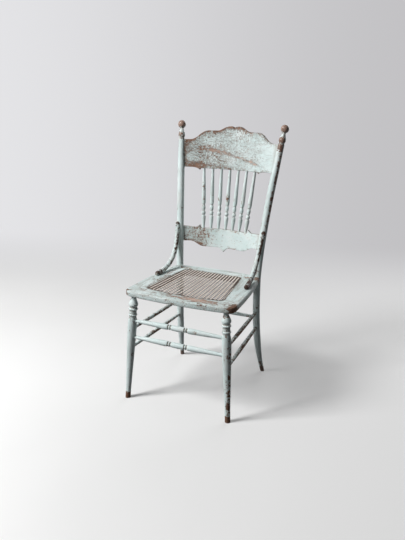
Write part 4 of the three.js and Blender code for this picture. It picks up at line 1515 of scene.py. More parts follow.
def lower_outline(post: BackPost) -> list[Point]:
    """Outline of the lower rail, with heights above the middle of its upper edge.

    Args:
        post: A post that the rail ends in.

    Returns:
        The closed outline.
    """
    half = Outline([(0.0, 0.0)])
    half.line_to(96.0, 0.0)
    half.bow_to(109.0, 0.0, 109.0, 13.5)
    half.bow_to(122.0, 3.0, 128.0, 3.0)
    half.line_to(abs(post.axis_at(LOWER_Z + LOWER_HIGH).x), LOWER_HIGH)
    half.line_to(abs(post.axis_at(LOWER_Z + LOWER_LOW).x), LOWER_LOW)
    half.line_to(146.0, LOWER_LOW)
    half.sweep_to(84.0, -76.0)
    half.line_to(25.0, -76.0)
    half.bow_to(12.5, -76.0, 0.0, -94.0)
    return half.whole()


@dataclass
class Spindles:
    """Seven turned spindles that fan out from the lower rail to the crest."""

    crest: BackRail
    lower: BackRail
    plans: tuple[WearPlan, ...]
    pitch_high: float = 38.0
    pitch_low: float = 31.4
    tenon: float = 12.0
    clear: float = 248.0
    foot: float = 4.7
    tip: float = 5.2
    vase: Point = (8.8, 46.0)
    neck: Point = (4.9, 55.0)
    bead: Point = (8.6, 73.0)
    collar: Point = (7.9, 99.0)
    swell: Point = (8.5, 118.0)
    sides: int = 18

    def steps(self) -> list[float]:
        """Place of each spindle in the row, counted from the middle."""
        return [i - (len(self.plans) - 1) / 2 for i in range(len(self.plans))]

    def profile(self, length: float) -> list[Point]:
        """Radius and height between the rails, tenons included.

        Args:
            length: Length from end to end.

        Returns:
            Radius and height of each point.
        """
        top = length - self.tenon
        scale = (top - self.tenon) / self.clear
        rises = (self.vase[1], self.neck[1], self.bead[1], self.collar[1], self.swell[1])
        widest, low, middle, high, swelling = [self.tenon + rise * scale for rise in rises]
        vase = [(self.foot, self.tenon - 1.0), (self.vase[0], widest), (self.neck[0], low)]
        swell = [(self.neck[0], high), (self.swell[0], swelling), (self.tip, top + 1.0)]
        return [
            (self.foot, self.tenon - 6.0),
            *dense(flowing(vase, steps=30), step=2.5),
            *bead(low, middle, self.neck[0], self.bead[0])[1:],
            *bead(middle, high, self.neck[0], self.collar[0])[1:],
            *dense(flowing(swell, steps=44), step=2.5)[1:],
            (self.tip, top + 6.0),
        ]

    def build(self, bench: Bench) -> None:
        """Turns the seven and stands them between the rails.

        Args:
            bench: Bench that delivers the pieces.
        """
        for i, (step, plan) in enumerate(zip(self.steps(), self.plans), start=1):
            start = self.lower.spot(step * self.pitch_low, -self.tenon)
            end = self.crest.spot(step * self.pitch_high, self.tenon)
            bm = turn_wood(self.profile((end - start).length), self.sides, plan)
            stand(bm, start, end)
            bench.deliver(bm, f"spindle_{i}", SPINDLE_PAINT)


# Seat


@dataclass
class Seat:
    """The seat's four rails, with the groove for the cane and a rounded outer edge."""

    post: BackPost
    plan: WearPlan
    top: float = 450.0
    thick: float = 23.0
    front_y: float = -260.0
    back_y: float = 146.0
    front_half: float = 225.0
    back_half: float = 190.0
    front_bow: float = 14.0
    back_bow: float = 21.0
    side_bow: float = 7.0
    corner: float = 32.0
    edge: float = 6.0
    open_front: float = -182.0
    open_back: float = 78.0
    open_front_half: float = 152.0
    open_back_half: float = 118.0
    open_bow: float = 12.0
    open_corner: float = 12.0
    lap: float = 7.0
    groove: float = 6.1
    groove_depth: float = 5.5
    rebate: float = 1.9
    kerf: float = 0.3
    break_groove: float = 0.5
    break_lap: float = 0.4
    break_inner: float = 1.0
    low_band: float = 8.0
    edge_rings: int = 5
    top_rings: int = 14
    under_rings: int = 4
    edge_top: Point = (0.3, 4.0)
    edge_side: Point = (16.0, 9.0)
    under_loss: float = 0.28
    deep: float = 0.8
    deep_side: float = 22.0
    deep_front: float = 30.0
    deep_back: float = 18.0
    deep_loss: float = 2.0
    deep_dirt_and_shade: float = 1.3
    corner_dirt: float = 0.85
    corner_reach: float = 20.0
    centre: Point = (0.0, -55.0)
    rays: int = 420

    def outer(self) -> list[Point]:
        """Outer outline of the seat, through the axes of the posts.

        Returns:
            The closed outline.
        """
        corner = self.front_half - self.corner
        corner_y = self.front_y + self.front_bow * (corner / self.front_half) ** 2
        axis = self.post.axis_at(self.top)
        post_x, post_y, radius = abs(axis.x), axis.y, self.post.radius
        side_end = (self.back_half, post_y - radius)
        side_start = (self.front_half, corner_y + self.corner)
        half = Outline([(0.0, self.front_y)])
        half.bow_to(corner / 2, self.front_y, corner, corner_y)
        half.bow_to(self.front_half, self.front_y + self.front_bow, *side_start)
        middle = ((side_start[0] + side_end[0]) / 2, (side_start[1] + side_end[1]) / 2)
        half.bow_to(middle[0] + 2 * self.side_bow, middle[1], *side_end)
        half.line_to(post_x, post_y)
        back_end = post_x - radius
        half.line_to(back_end, self.back_y - self.back_bow * (back_end / self.back_half) ** 2)
        half.bow_to(back_end / 2, self.back_y, 0.0, self.back_y)
        return half.whole()

    def slope(self) -> float:
        """How fast the opening widens towards the front."""
        return (self.open_front_half - self.open_back_half) / (self.open_back - self.open_front)

    def opening(self, grow: float) -> list[Point]:
        """Outline of the opening, grown outwards by a margin.

        Args:
            grow: The margin.

        Returns:
            The closed outline.
        """
        slope = self.slope()
        front = self.open_back_half + slope * (self.open_back - self.open_front + grow) + grow
        back = self.open_back_half - slope * grow + grow
        front_y, back_y = self.open_front - grow, self.open_back + grow
        turn = self.open_corner + grow
        bow = self.open_bow * (1 - ((front - turn) / self.open_front_half) ** 2)
        half = Outline([(0.0, front_y - self.open_bow)], steps=10)
        half.bow_to((front - turn) / 2, front_y - self.open_bow, front - turn, front_y - bow)
        half.bow_to(front, front_y, front - slope * turn, front_y + turn)
        half.line_to(back + slope * turn, back_y - turn)
        half.bow_to(back, back_y, back - turn, back_y)
        half.line_to(0.0, back_y)
        return half.whole()

    def loops(self) -> list[list[Vector]]:
        """Rings of points round the frame, from its lower outer edge over the top and back.

        Returns:
            The rings, each with one point to a ray.
        """
        outside = ray_hits(self.outer(), self.centre, self.rays)
        inwards = []
        for i in range(self.rays):
            run = outside[(i + 1) % self.rays] - outside[i - 1]
            inwards.append(Vector((-run.y, run.x, 0.0)).normalized())
        under = self.top - self.thick

        def ring(inset: float, z: float) -> list[Vector]:
            """The outer outline moved inwards, at a height."""
            lift = Vector((0.0, 0.0, z))
            return [p + n * inset + lift for p, n in zip(outside, inwards)]

        def hole(grow: float, z: float) -> list[Vector]:
            """The opening grown by a margin, at a height."""
            lift = Vector((0.0, 0.0, z))
            return [p + lift for p in ray_hits(self.opening(grow), self.centre, self.rays)]

        def across(first: list[Vector], last: list[Vector], count: int) -> list[list[Vector]]:
            """Rings between two others."""
            shares = [(i + 1) / (count + 1) for i in range(count)]
            return [[a.lerp(b, share) for a, b in zip(first, last)] for share in shares]

        rings = []
        for start, base in ((0.0, under + self.edge), (math.pi / 2, self.top - self.edge)):
            for i in range(self.edge_rings):
                angle = start + math.pi / 2 * i / (self.edge_rings - 1) - math.pi / 2
                inset = self.edge * (1 - math.cos(angle))
                rings.append(ring(inset, base + self.edge * math.sin(angle)))
        lip = self.lap + self.groove
        shelf = self.top - self.rebate
        groove_floor = self.top - self.groove_depth
        inner = [
            hole(lip + self.break_groove, self.top),
            hole(lip, self.top - self.break_groove),
            hole(lip, groove_floor),
            hole(self.lap, groove_floor),
            hole(self.lap, shelf - self.break_lap),
            hole(self.lap - self.break_lap, shelf),
            hole(self.break_inner, shelf),
            hole(0.0, shelf - self.break_inner),
            hole(0.0, under + self.low_band),
            hole(0.0, under),
        ]
        return [
            *rings,
            *across(rings[-1], inner[0], self.top_rings),
            *inner,
            *across(inner[-1], rings[0], self.under_rings),
        ]

    def frame_mesh(self) -> BMesh:
        """The whole frame as one closed ring with its wear.

        Returns:
            The mesh.
        """
        bm = bmesh.new()
        wear, grime, rub = layers(bm, "wear", "grime", "rub")
        loops = self.loops()
        verts = [bm.verts.new(point) for point in loops[0]]
        first = [bm.edges.new(pair) for pair in zip(verts, verts[1:] + verts[:1])]
        edges = first
        for loop in loops[1:]:
            made = bmesh.ops.extrude_edge_only(bm, edges=edges)["geom"]
            fresh = {item for item in made if isinstance(item, bmesh.types.BMVert)}
            moved = []
            for vert in verts:
                ends = [edge.other_vert(vert) for edge in vert.link_edges]
                moved.append(next(end for end in ends if end in fresh))
            for vert, point in zip(moved, loop):
                vert.co = point
            verts = moved
            edges = [item for item in made if isinstance(item, bmesh.types.BMEdge)]
            edges = [e for e in edges if e.verts[0] in fresh and e.verts[1] in fresh]
        bmesh.ops.bridge_loops(bm, edges=edges + first)
        face_out(bm)
        for vert in bm.verts:
            self.mark(vert, wear, grime)
            vert[rub] = self.plan.rub(vert.co.x, vert.co.y)
        return bm

    def mark(self, vert: bmesh.types.BMVert, wear: object, grime: object) -> None:
        """Marks the wear, the dirt and the painted shade of one point of the frame.

        Args:
            vert: The point.
            wear: Layer of the wear.
            grime: Layer of the dirt and painted shade.
        """
        x, y, z = vert.co
        level = self.plan.level(x, y, about=False)
        side = ease(z, *(self.top - drop for drop in self.edge_side))
        round_edge = ease(self.top - z, *self.edge_top) * side
        level += self.plan.edge * round_edge
        if z < self.top - self.thick + 1.0:
            level = self.under_loss
        deep = z < self.top - self.deep and abs(x) < self.open_front_half + self.deep_side
        front, back = self.open_front - self.deep_front, self.open_back + self.deep_back
        inside = deep and front < y < back
        vert[wear] = self.deep_loss if inside else level
        post = self.post.axis_at(self.top)
        corner = math.dist((abs(x), y), (abs(post.x), post.y))
        dirt = self.corner_dirt * fade(corner, self.corner_reach)
        # Inside the opening the walls are darkened: dirt, and painted shade of the walls seen
        # through the cane.
        vert[grime] = self.deep_dirt_and_shade if inside else dirt

    def build(self, bench: Bench) -> None:
        """Saws the frame into its four rails.

        Args:
            bench: Bench that delivers the pieces.
        """
        front_seam = self.open_front + self.open_corner / 2
        back_seam = self.open_back_half - self.open_corner / 2
        gap = self.kerf / 2
        ahead, right = Vector((0.0, 1.0, 0.0)), Vector((1.0, 0.0, 0.0))
        saw_front = ahead * (front_seam - gap), ahead
        saw_behind = ahead * (front_seam + gap), -ahead
        rails = {
            "seat_front_rail": (saw_front,),
            "seat_back_rail": (
                saw_behind,
                (right * (back_seam - gap), right),
                (right * (gap - back_seam), -right),
            ),
            "seat_side_rail_left": (saw_behind, (right * (-back_seam - gap), right)),
            "seat_side_rail_right": (saw_behind, (right * (back_seam + gap), -right)),
        }
        whole = self.frame_mesh()
        for node, cuts in rails.items():
            bm = whole.copy()
            for point, outwards in cuts:
                trim(bm, point, outwards)
            finish = SEAT_SIDE_PAINT if "side" in node else SEAT_PAINT
            bench.deliver(bm, node, finish)
        whole.free()


@dataclass(frozen=True)
class Strand:
    """One kind of strand: its height and swing, the step of its stations, and its darkening, which
    is painted shade.
    """

    height: float
    swing: float
    stride: float
    darkening: float

    def lift(self, cell: Vector) -> float:
        """How high the strand rides; it goes up and down once in each column."""
        return self.height + self.swing * math.cos(math.tau * cell.x)


SLANT = math.sqrt(2.0) / 4
# Painted shade of the weave: the crossing and slanting strands, which lie below the pairs, are
# darkened for the shade they lie in; the pairs on top stay pale.
LOW_STRAND = Strand(height=0.5, swing=0.0, stride=0.5, darkening=0.08)
HIGH_STRAND = Strand(height=0.85, swing=0.0, stride=0.5, darkening=0.0)
CROSS_STRAND = Strand(height=-0.1, swing=-0.5, stride=0.25, darkening=0.9)
RISING_STRAND = Strand(height=0.15, swing=0.55, stride=SLANT, darkening=0.95)
FALLING_STRAND = Strand(height=0.15, swing=-0.55, stride=SLANT, darkening=0.95)


@dataclass
class CaneSeat:
    """Cane woven six ways, with its edge pressed into the groove by a spline."""

    seat: Seat
    column: float = 14.43
    row: float = 13.4
    fan: float = 0.00077
    strand: float = 2.7
    pair: float = 1.65
    gauge: float = 0.5
    crown: float = 0.25
    level: float = 449.2
    sag: float = 1.8
    lap: float = 8.0
    tuck: float = 3.2
    lines: int = 30
    shortest: float = 0.5
    end_gap: float = 0.12
    end: float = 0.08
    probe: float = 0.05
    rim_dirt_and_shade: float = 1.1
    rim_reach: float = 5.5
    spline_width: float = 4.0
    spline_height: float = 5.2
    spline_gap: float = 0.8
    spline_sunk: float = 0.9
    spline_crown: float = 1.4
    spline_loss: float = 0.42
    spline_dirt_and_shade: Point = (0.5, 0.8)

    @property
    def middle(self) -> float:
        """Depth of the middle of the seat."""
        return (self.seat.open_front + self.seat.open_back) / 2

    @property
    def border(self) -> list[Point]:
        """Outline of the woven part, down in the groove."""
        return self.seat.opening(self.lap)

    def cell(self, x: float, y: float) -> Point:
        """Column and row of a point of the seat."""
        spread = 1.0 + self.fan * (self.middle - y)
        return x / (self.column * spread), (y - self.middle) / self.row

    def spot(self, cell: Vector) -> Vector:
        """Point of the seat at a column and a row; the columns spread towards the front."""
        y = self.middle + cell.y * self.row
        return Vector((cell.x * self.column * (1.0 + self.fan * (self.middle - y)), y))

    def reach(self, start: Vector, along: Vector, outline: Sequence[Point]) -> Point | None:
        """Where a line enters and leaves an outline, counted along the line.

        Args:
            start: A point of the line.
            along: Its direction.
            outline: Closed outline.

        Returns:
            The two distances, or None where the line misses the outline.
        """
        cuts = []
        for (ax, ay), (bx, by) in zip(outline, [*outline[1:], outline[0]]):
            run = Vector((bx - ax, by - ay))
            across = along.x * run.y - along.y * run.x
            if abs(across) < 1e-9:
                continue
            gap = Vector((ax - start.x, ay - start.y))
            share = (gap.x * along.y - gap.y * along.x) / across
            if 0.0 <= share < 1.0:
                cuts.append((gap.x * run.y - gap.y * run.x) / across)
        return (min(cuts), max(cuts)) if len(cuts) > 1 else None

    def lay(
        self, bm: BMesh, border: Sequence[Point], start: Vector, along: Vector, strand: Strand
    ) -> None:
        """Lays one strand from groove to groove, in columns and rows.

        Args:
            bm: Mesh that takes the strand.
            border: Outline that the strand ends at.
            start: A point of the strand.
            along: Its direction.
            strand: The kind of strand.
        """
        grime = bm.verts.layers.float["grime"]
        stride = strand.stride
        ends = self.reach(start, along, border)
        if ends is None or ends[1] - ends[0] < self.shortest:
            return
        first = math.ceil((ends[0] + self.end_gap) / stride)
        last = math.floor((ends[1] - self.end_gap) / stride)
        stations = [ends[0], ends[0] + self.end]
        stations += [i * stride for i in range(first, last + 1)]
        stations += [ends[1] - self.end, ends[1]]
        made = bmesh.ops.create_grid(
            bm, x_segments=len(stations) - 1, y_segments=2, size=1.0
        )["verts"]
        for vert in made:
            index = round((vert.co.x + 1.0) / 2.0 * (len(stations) - 1))
            cell = start + along * stations[index]
            probe = along * self.probe
            run = self.spot(cell + probe) - self.spot(cell - probe)
            side = Vector((-run.y, run.x)).normalized()
            spot = self.spot(cell) + side * (vert.co.y * self.strand / 2)
            tucked = index in (0, len(stations) - 1)
            edge = index in (1, len(stations) - 2)
            height = 0.0 if tucked or edge else strand.lift(cell)
            vert[grime] = strand.darkening
            height -= self.tuck if tucked else 0.0
            height += self.crown * (1.0 - abs(vert.co.y))
            vert.co = (spot.x, spot.y, self.level + height - self.droop(spot.x, spot.y))

    def droop(self, x: float, y: float) -> float:
        """How far the worn seat sags at a point.

        Args:
            x: Place across.
            y: Place in depth.

        Returns:
            The sag.
        """
        u = x / self.seat.open_back_half
        v = (y - self.middle) / ((self.seat.open_back - self.seat.open_front) / 2)
        return self.sag * max(0.0, 1.0 - u * u) * max(0.0, 1.0 - v * v)

    def weave(self) -> BMesh:
        """All the strands: pairs both ways and single strands on both diagonals.

        Returns:
            The mesh, with the layer grime.
        """
        bm = bmesh.new()
        bm.verts.layers.float.new("grime")
        border = [self.cell(x, y) for x, y in self.border]
        ahead, right = Vector((0.0, 1.0)), Vector((1.0, 0.0))
        apart, beside = self.pair / self.column, self.pair / self.row
        for i in range(-self.lines, self.lines + 1):
            for offset, strand in ((-apart, LOW_STRAND), (apart, HIGH_STRAND)):
                self.lay(bm, border, right * (i + offset), ahead, strand)
            for offset in (-beside, beside):
                self.lay(bm, border, ahead * (i + offset), right, CROSS_STRAND)
            for tilt, strand in ((1.0, RISING_STRAND), (-1.0, FALLING_STRAND)):
                along = Vector((1.0, tilt)).normalized()
                self.lay(bm, border, right * (i + 0.5), along, strand)
        bmesh.ops.solidify(bm, geom=bm.faces[:], thickness=self.gauge)
        face_out(bm)
        return bm

    def spline_mesh(self) -> BMesh:
        """The round-backed strip that closes the groove.

        Returns:
            The mesh, with the layers wear and grime.
        """
        bm = bmesh.new()
        wear, grime = layers(bm, "wear", "grime")
        inner = self.lap + self.spline_gap
        outer = inner + self.spline_width
        top = self.seat.top - self.spline_sunk
        crown = self.spline_crown
        low = self.seat.top - self.spline_height
        sizes = [(inner, low), (inner, top - crown)]
        for i in range(1, 6):
            angle = math.pi * i / 6
            grow = (inner + outer) / 2 - math.cos(angle) * self.spline_width / 2
            sizes.append((grow, top - crown + crown * math.sin(angle)))
        sizes += [(outer, top - crown), (outer, low)]
        rings = []
        for grow, z in sizes:
            hits = ray_hits(self.seat.opening(grow), self.seat.centre, self.seat.rays)
            verts = [bm.verts.new((p.x, p.y, z)) for p in hits]
            rings.append([bm.edges.new(pair) for pair in zip(verts, verts[1:] + verts[:1])])
        for first, second in zip(rings, rings[1:] + rings[:1]):
            bmesh.ops.bridge_loops(bm, edges=first + second)
        face_out(bm)
        for vert in bm.verts:
            vert[wear] = self.spline_loss
            # The first value darkens the whole strip as dirt; the second darkens the sides below
            # the crown as painted shade in the groove.
            deep = ease(top - vert.co.z, 0.2, 1.2)
            vert[grime] = self.spline_dirt_and_shade[0] + self.spline_dirt_and_shade[1] * deep
        return bm

    def build(self, bench: Bench) -> None:
        """Weaves the seat and lays the spline.

        Args:
            bench: Bench that delivers the pieces.
        """
        bm = self.weave()
        grime = bm.verts.layers.float["grime"]
        rim = [Vector(point) for point in self.border]
        for vert in bm.verts:
            place = Vector((vert.co.x, vert.co.y))
            border = min((place - point).length for point in rim[::3])
            # Strands near the border are darkened: dirt, and painted shade of the holes over the
            # shaded groove and rail walls.
            dirt = self.rim_dirt_and_shade * fade(border, self.rim_reach)
            vert[grime] = min(1.0, vert[grime] + dirt)
        bench.deliver(bm, "cane_panel", SEAT_CANE)
        bench.deliver(self.spline_mesh(), "cane_spline", SPLINE_PAINT)


# Hip brackets and screws


@dataclass
class HipBracket:
    """A bent rod from a post down on to the side rail, held by two screws.

    The angle 180 of its wear is the rod's upper and front side.
    """

    post: BackPost
    plan: WearPlan
    seat_top: float = 450.0
    radius: float = 9.5
    tip_radius: float = 4.5
    tip: float = 9.0
    top_z: float = 634.0
    top_out: float = 6.0
    top_front: float = 13.0
    reach: float = 180.0
    tip_out: float = 18.0
    flat: float = 2.0
    fall: float = 114.0
    fall_front: float = 20.0
    run: float = 128.0
    out: float = 3.0
    screw_from_end: float = 17.0
    screw_length: float = 26.0
    sunk: float = 2.0
    air: float = 0.3
    darkening: float = 0.12
    parts: int = 240
    end_rings: int = 8
    sides: int = 24
    table: list[tuple[float, Vector]] = field(default_factory=list)

    def __post_init__(self) -> None:
        """Measures the rod along its curve."""
        side = self.post.side.value
        foot = self.post.axis_at(self.seat_top)
        hold = self.post.axis_at(self.top_z)
        rest = self.seat_top + self.radius - self.flat
        end_y = foot.y - self.reach
        belly = foot.x + side * self.out
        knots = (
            Vector((hold.x + side * self.top_out, hold.y - self.top_front, hold.z)),
            Vector((belly, foot.y - self.fall_front, hold.z - self.fall)),
            Vector((belly, end_y + self.run, rest)),
            Vector((foot.x + side * self.tip_out, end_y, rest)),
        )
        length = 0.0
        last = knots[0]
        for i in range(self.parts + 1):
            spot = Vector((0.0, 0.0, 0.0))
            for weight, knot in zip(bow_weights(i / self.parts), knots):
                spot += knot * weight
            length += (spot - last).length
            last = spot
            self.table.append((length, spot))
        self.length = length

    def axis(self, along: float) -> tuple[Vector, Vector]:
        """Point and direction of the rod at a length.

        Args:
            along: Length from the upper end.

        Returns:
            The point and the direction.
        """
        index = 1
        while index < len(self.table) - 1 and self.table[index][0] < along:
            index += 1
        (before, start), (after, end) = self.table[index - 1], self.table[index]
        ahead = (end - start).normalized()
        share = (along - before) / (after - before)
        low, high = max(0, index - 3), min(len(self.table) - 1, index + 2)
        smooth = (self.table[high][1] - self.table[low][1]).normalized()
        return start + ahead * ((after - before) * share), smooth

    def profile(self) -> list[Point]:
        """Radius and length from end to end.

        Returns:
            Radius and length of each point.
        """
        end = []
        for i in range(self.end_rings):
            share = i / self.end_rings
            bulge = math.sin(math.pi / 2 * share)
            radius = self.tip_radius + (self.radius - self.tip_radius) * bulge
            end.append((radius, self.tip * share))
        rod = dense([(self.radius, self.tip), (self.radius, self.length - self.tip)], step=3.0)
        far = [(radius, self.length - height) for radius, height in reversed(end)]
        return [*end, *rod, *far]

    def build(self, bench: Bench) -> None:
        """Bends the rod, drills it and drives its screws.

        Args:
            bench: Bench that delivers the pieces.
        """
        side = self.post.side
        bm = turn_wood(self.profile(), self.sides, self.plan)
        grime = bm.verts.layers.float["grime"]
        bend(bm, self.axis)
        for vert in bm.verts:
            vert.co.z = max(vert.co.z, self.seat_top + self.air)
            vert[grime] += self.darkening
        bracket = bench.deliver(bm, f"hip_bracket_{side.word}", BRACKET_PAINT)
        high = self.axis(self.screw_from_end)[0]
        inwards = self.post.axis_at(high.z) - high
        inwards.z = 0.0
        inwards.normalize()
        heads = {
            "upper": (high + inwards * (self.sunk - self.radius), inwards),
            "lower": (
                self.axis(self.length - self.screw_from_end)[0]
                + Vector((0.0, 0.0, self.radius - self.sunk)),
                Vector((0.0, 0.0, -1.0)),
            ),
        }
        for word, (head, along) in heads.items():
            node = f"bracket_screw_{side.word}_{word}"
            Screw().drive(bench, bracket, node, head, along, self.screw_length)


@dataclass
class Screw:
    """A countersunk wood screw with a slotted head."""

    radius: float = 2.2
    head_radius: float = 4.2
    head: float = 3.0
    slot: Point = (1.0, 1.1)
    point: Point = (0.6, 5.0)
    thread: float = 6.0
    thread_share: float = 0.6
    thread_root: float = 0.78
    thread_rise: float = 0.7
    pitch: float = 1.5
    chamfer: float = 0.3
    air: float = 0.3
    bore: float = 12.0
    sides: int = 20

    def drive(
        self, bench: Bench, piece: bpy.types.Object, node: str, head: Vector, along: Vector,
        length: float,
    ) -> None:
        """Bores a piece for the head, turns a screw, saws its slot and drives it.

        Args:
            bench: Bench that delivers the screw.
            piece: Delivered piece that the head is sunk in.
            node: Node that the screw stands for.
            head: Middle of the top of its head.
            along: Direction that it is driven in.
            length: Its length.
        """
        bench.drill(piece, head, -along, self.head_radius + self.air, self.bore)
        shank = length - self.head
        profile = [(self.point[0], 0.0), (self.radius, self.point[1])]
        thread = self.thread
        while thread < shank * self.thread_share:
            profile.append((self.radius * self.thread_root, thread))
            profile.append((self.radius, thread + self.thread_rise))
            thread += self.pitch
        profile += [(self.radius, shank), (self.head_radius, length - self.chamfer)]
        profile.append((self.head_radius - self.chamfer, length))
        bm = turn_wood(profile, self.sides, WearPlan())
        self.saw_slot(bm, length)
        stand(bm, head + along * length, head)
        bench.deliver(bm, node, SCREW_STEEL)

    def saw_slot(self, bm: BMesh, length: float) -> None:
        """Presses the slot into the top of the head.

        Args:
            bm: The screw, upright.
            length: Its length.
        """
        half, depth = self.slot[0] / 2, self.slot[1]
        for offset in (-half - 0.05, -half, half, half + 0.05):
            bmesh.ops.bisect_plane(
                bm, geom=everything(bm), dist=0.001, plane_co=(offset, 0.0, 0.0),
                plane_no=(1.0, 0.0, 0.0),
            )
        for vert in bm.verts:
            if vert.co.z > length - 0.5 and abs(vert.co.x) <= half + 0.01:
                vert.co.z -= depth


# Studio


@dataclass
class Studio:
    """A pale floor, two soft window lights, weak room light and the camera."""

    camera_at: Triple = (0.961, -2.1320, 1.2533)
    right: Triple = (0.9084088, 0.4180364, 0.0062492)
    up: Triple = (-0.1359264, 0.281172, 0.9499823)
    back: Triple = (0.39537, -0.8638217, 0.3122413)
    behind: Triple = (-0.3, 1.0, 0.0)
    lens: float = 41.12
    floor_radius: float = 40.0
    fade_behind: Point = (0.7, 2.4)
    fade_round: Point = (1.6, 3.0)
    painted_falloff_across: Point = (-1.0, 1.3)
    wall_across: Point = (-0.42, 0.36)
    floor_colour: Colour = (0.9, 0.9, 0.895, 1.0)
    worn_colour: Colour = (0.86, 0.86, 0.855, 1.0)
    painted_falloff_colour: Colour = (0.42, 0.42, 0.42, 1.0)
    painted_fill_glow: float = 0.37
    bounce_colour: Colour = (0.1, 0.1, 0.1, 1.0)
    wall_light: Colour = (0.79, 0.79, 0.81, 1.0)
    wall_dark: Colour = (0.54, 0.535, 0.55, 1.0)
    window_away: Triple = (2.55, 1.0, -2.75)
    window_size: Point = (1.1, 1.4)
    window_watts: float = 182.0
    rear_away: Triple = (1.7, -4.0, 2.7)
    rear_size: Point = (4.4, 3.4)
    rear_watts: float = 105.0
    aim: float = 0.5
    room: float = 0.015
    room_colour: Colour = (0.93, 0.96, 1.0, 1.0)

    def wall(self, graph: Graph, vector: Socket) -> Socket:
        """Grey of the wall, paler on the side of the window.

        Args:
            graph: Tree to wire in.
            vector: Direction of view, or a place on the floor far away.

        Returns:
            The colour's socket.
        """
        share = graph.step(graph.dot(vector, self.right), *self.wall_across)
        return graph.mix(share, self.wall_light, self.wall_dark)

    def shown_to(self, graph: Graph) -> Socket:
        """Mask of the rays that see the background: those of the camera and of reflections.

        Args:
            graph: Tree to wire in.

        Returns:
            The mask's socket.
        """
        path = graph.add("ShaderNodeLightPath").outputs
        mirrored = graph.math("MAXIMUM", path["Is Glossy Ray"], path["Is Transmission Ray"])
        return graph.math("MAXIMUM", path["Is Camera Ray"], mirrored)

    def floor(self) -> None:
        """Lays the floor, which fades into the wall's grey far behind the chair. Towards the right
        the floor's colour is painted darker, as painted falloff of the window's light, and a
        painted glow lifts the chair's shadow there.
        """
        bm = bmesh.new()
        bmesh.ops.create_circle(bm, cap_ends=True, segments=96, radius=self.floor_radius)
        mesh = bpy.data.meshes.new("floor")
        bm.to_mesh(mesh)
        bm.free()
        material = bpy.data.materials.new("floor")
        material.use_nodes = True
        material.node_tree.nodes.clear()
        graph = Graph(material.node_tree)
        coordinates = graph.add("ShaderNodeTexCoord").outputs["Object"]
        far = graph.step(graph.dot(coordinates, self.behind), *self.fade_behind)
        distance = graph.add("ShaderNodeVectorMath", {0: coordinates}, operation="LENGTH")
        about = graph.step(distance.outputs["Value"], *self.fade_round)
        away = graph.math("MAXIMUM", far, about)
        clouds = graph.noise(coordinates, 0.9, 3.0, 0.5)
        cloud = graph.step(clouds, 0.3, 0.7)
        shown = graph.mix(cloud, self.floor_colour, self.worn_colour)
        # Painted light: the floor is darkened towards the right and given a glow there, which
        # softens the chair's shadow.
        share = graph.step(graph.dot(coordinates, self.right), *self.painted_falloff_across)
        shown = graph.mix(share, shown, self.painted_falloff_colour)
        path = self.shown_to(graph)
        colour = graph.mix(path, self.bounce_colour, shown)
        glow = graph.math("MULTIPLY", path, graph.math("MULTIPLY", share, self.painted_fill_glow))
        shader = graph.add(
            "ShaderNodeBsdfPrincipled",
            {"Base Color": colour, "Roughness": 0.7, "Emission Strength": glow},
        )
        shader.inputs["Emission Color"].default_value = (1.0, 1.0, 1.0, 1.0)
        line = graph.add(
            "ShaderNodeVectorMath", {0: coordinates, 1: self.camera_at}, operation="SUBTRACT"
        )
        sight = graph.add("ShaderNodeVectorMath", {0: line.outputs[0]}, operation="NORMALIZE")
        wall = graph.add(
            "ShaderNodeEmission", {"Color": self.wall(graph, sight.outputs[0]), "Strength": 1.0}
        )
        seen = graph.math("MULTIPLY", away, path)
        both = graph.add(
            "ShaderNodeMixShader", {0: seen, 1: shader.outputs[0], 2: wall.outputs[0]}
        )
        graph.add("ShaderNodeOutputMaterial", {"Surface": both.outputs[0]})
        mesh.materials.append(material)
        floor = bpy.data.objects.new("floor", mesh)
        bpy.context.scene.collection.objects.link(floor)

    def hang(self, name: str, away: Sequence[float], size: Point, watts: float) -> None:
        """Hangs a soft light that faces the chair.

        Args:
            name: Name of the light.
            away: How far it hangs over the chair, towards the camera and to the right.
            size: Its width and height.
            watts: Its power.
        """
        near = Vector((self.back[0], self.back[1], 0.0)).normalized()
        over = Vector((0.0, 0.0, 1.0))
        place = over * away[0] + near * away[1] + Vector(self.right) * away[2]
        lamp = bpy.data.lights.new(name, "AREA")
        lamp.shape = "RECTANGLE"
        lamp.size, lamp.size_y = size
        lamp.energy = watts
        light = bpy.data.objects.new(name, lamp)
        light.location = over * self.aim + place
        light.rotation_mode = "QUATERNION"
        light.rotation_quaternion = (-place).to_track_quat("-Z", "Y")
        light.visible_camera = False
        bpy.context.scene.collection.objects.link(light)

    def light(self) -> None:
        """Hangs both lights and sets the room's own light."""
        self.hang("window", self.window_away, self.window_size, self.window_watts)
        self.hang("rear_window", self.rear_away, self.rear_size, self.rear_watts)
        world = bpy.data.worlds.new("room")
        world.use_nodes = True
        world.node_tree.nodes.clear()
        graph = Graph(world.node_tree)
        seen = self.shown_to(graph)
        room = graph.add(
            "ShaderNodeBackground", {"Color": self.room_colour, "Strength": self.room}
        )
        sight = graph.add("ShaderNodeTexCoord").outputs["Generated"]
        grey = self.wall(graph, sight)
        wall = graph.add("ShaderNodeBackground", {"Color": grey, "Strength": 1.0})
        both = graph.add("ShaderNodeMixShader", {0: seen, 1: room.outputs[0], 2: wall.outputs[0]})
        graph.add("ShaderNodeOutputWorld", {"Surface": both.outputs[0]})
        bpy.context.scene.world = world

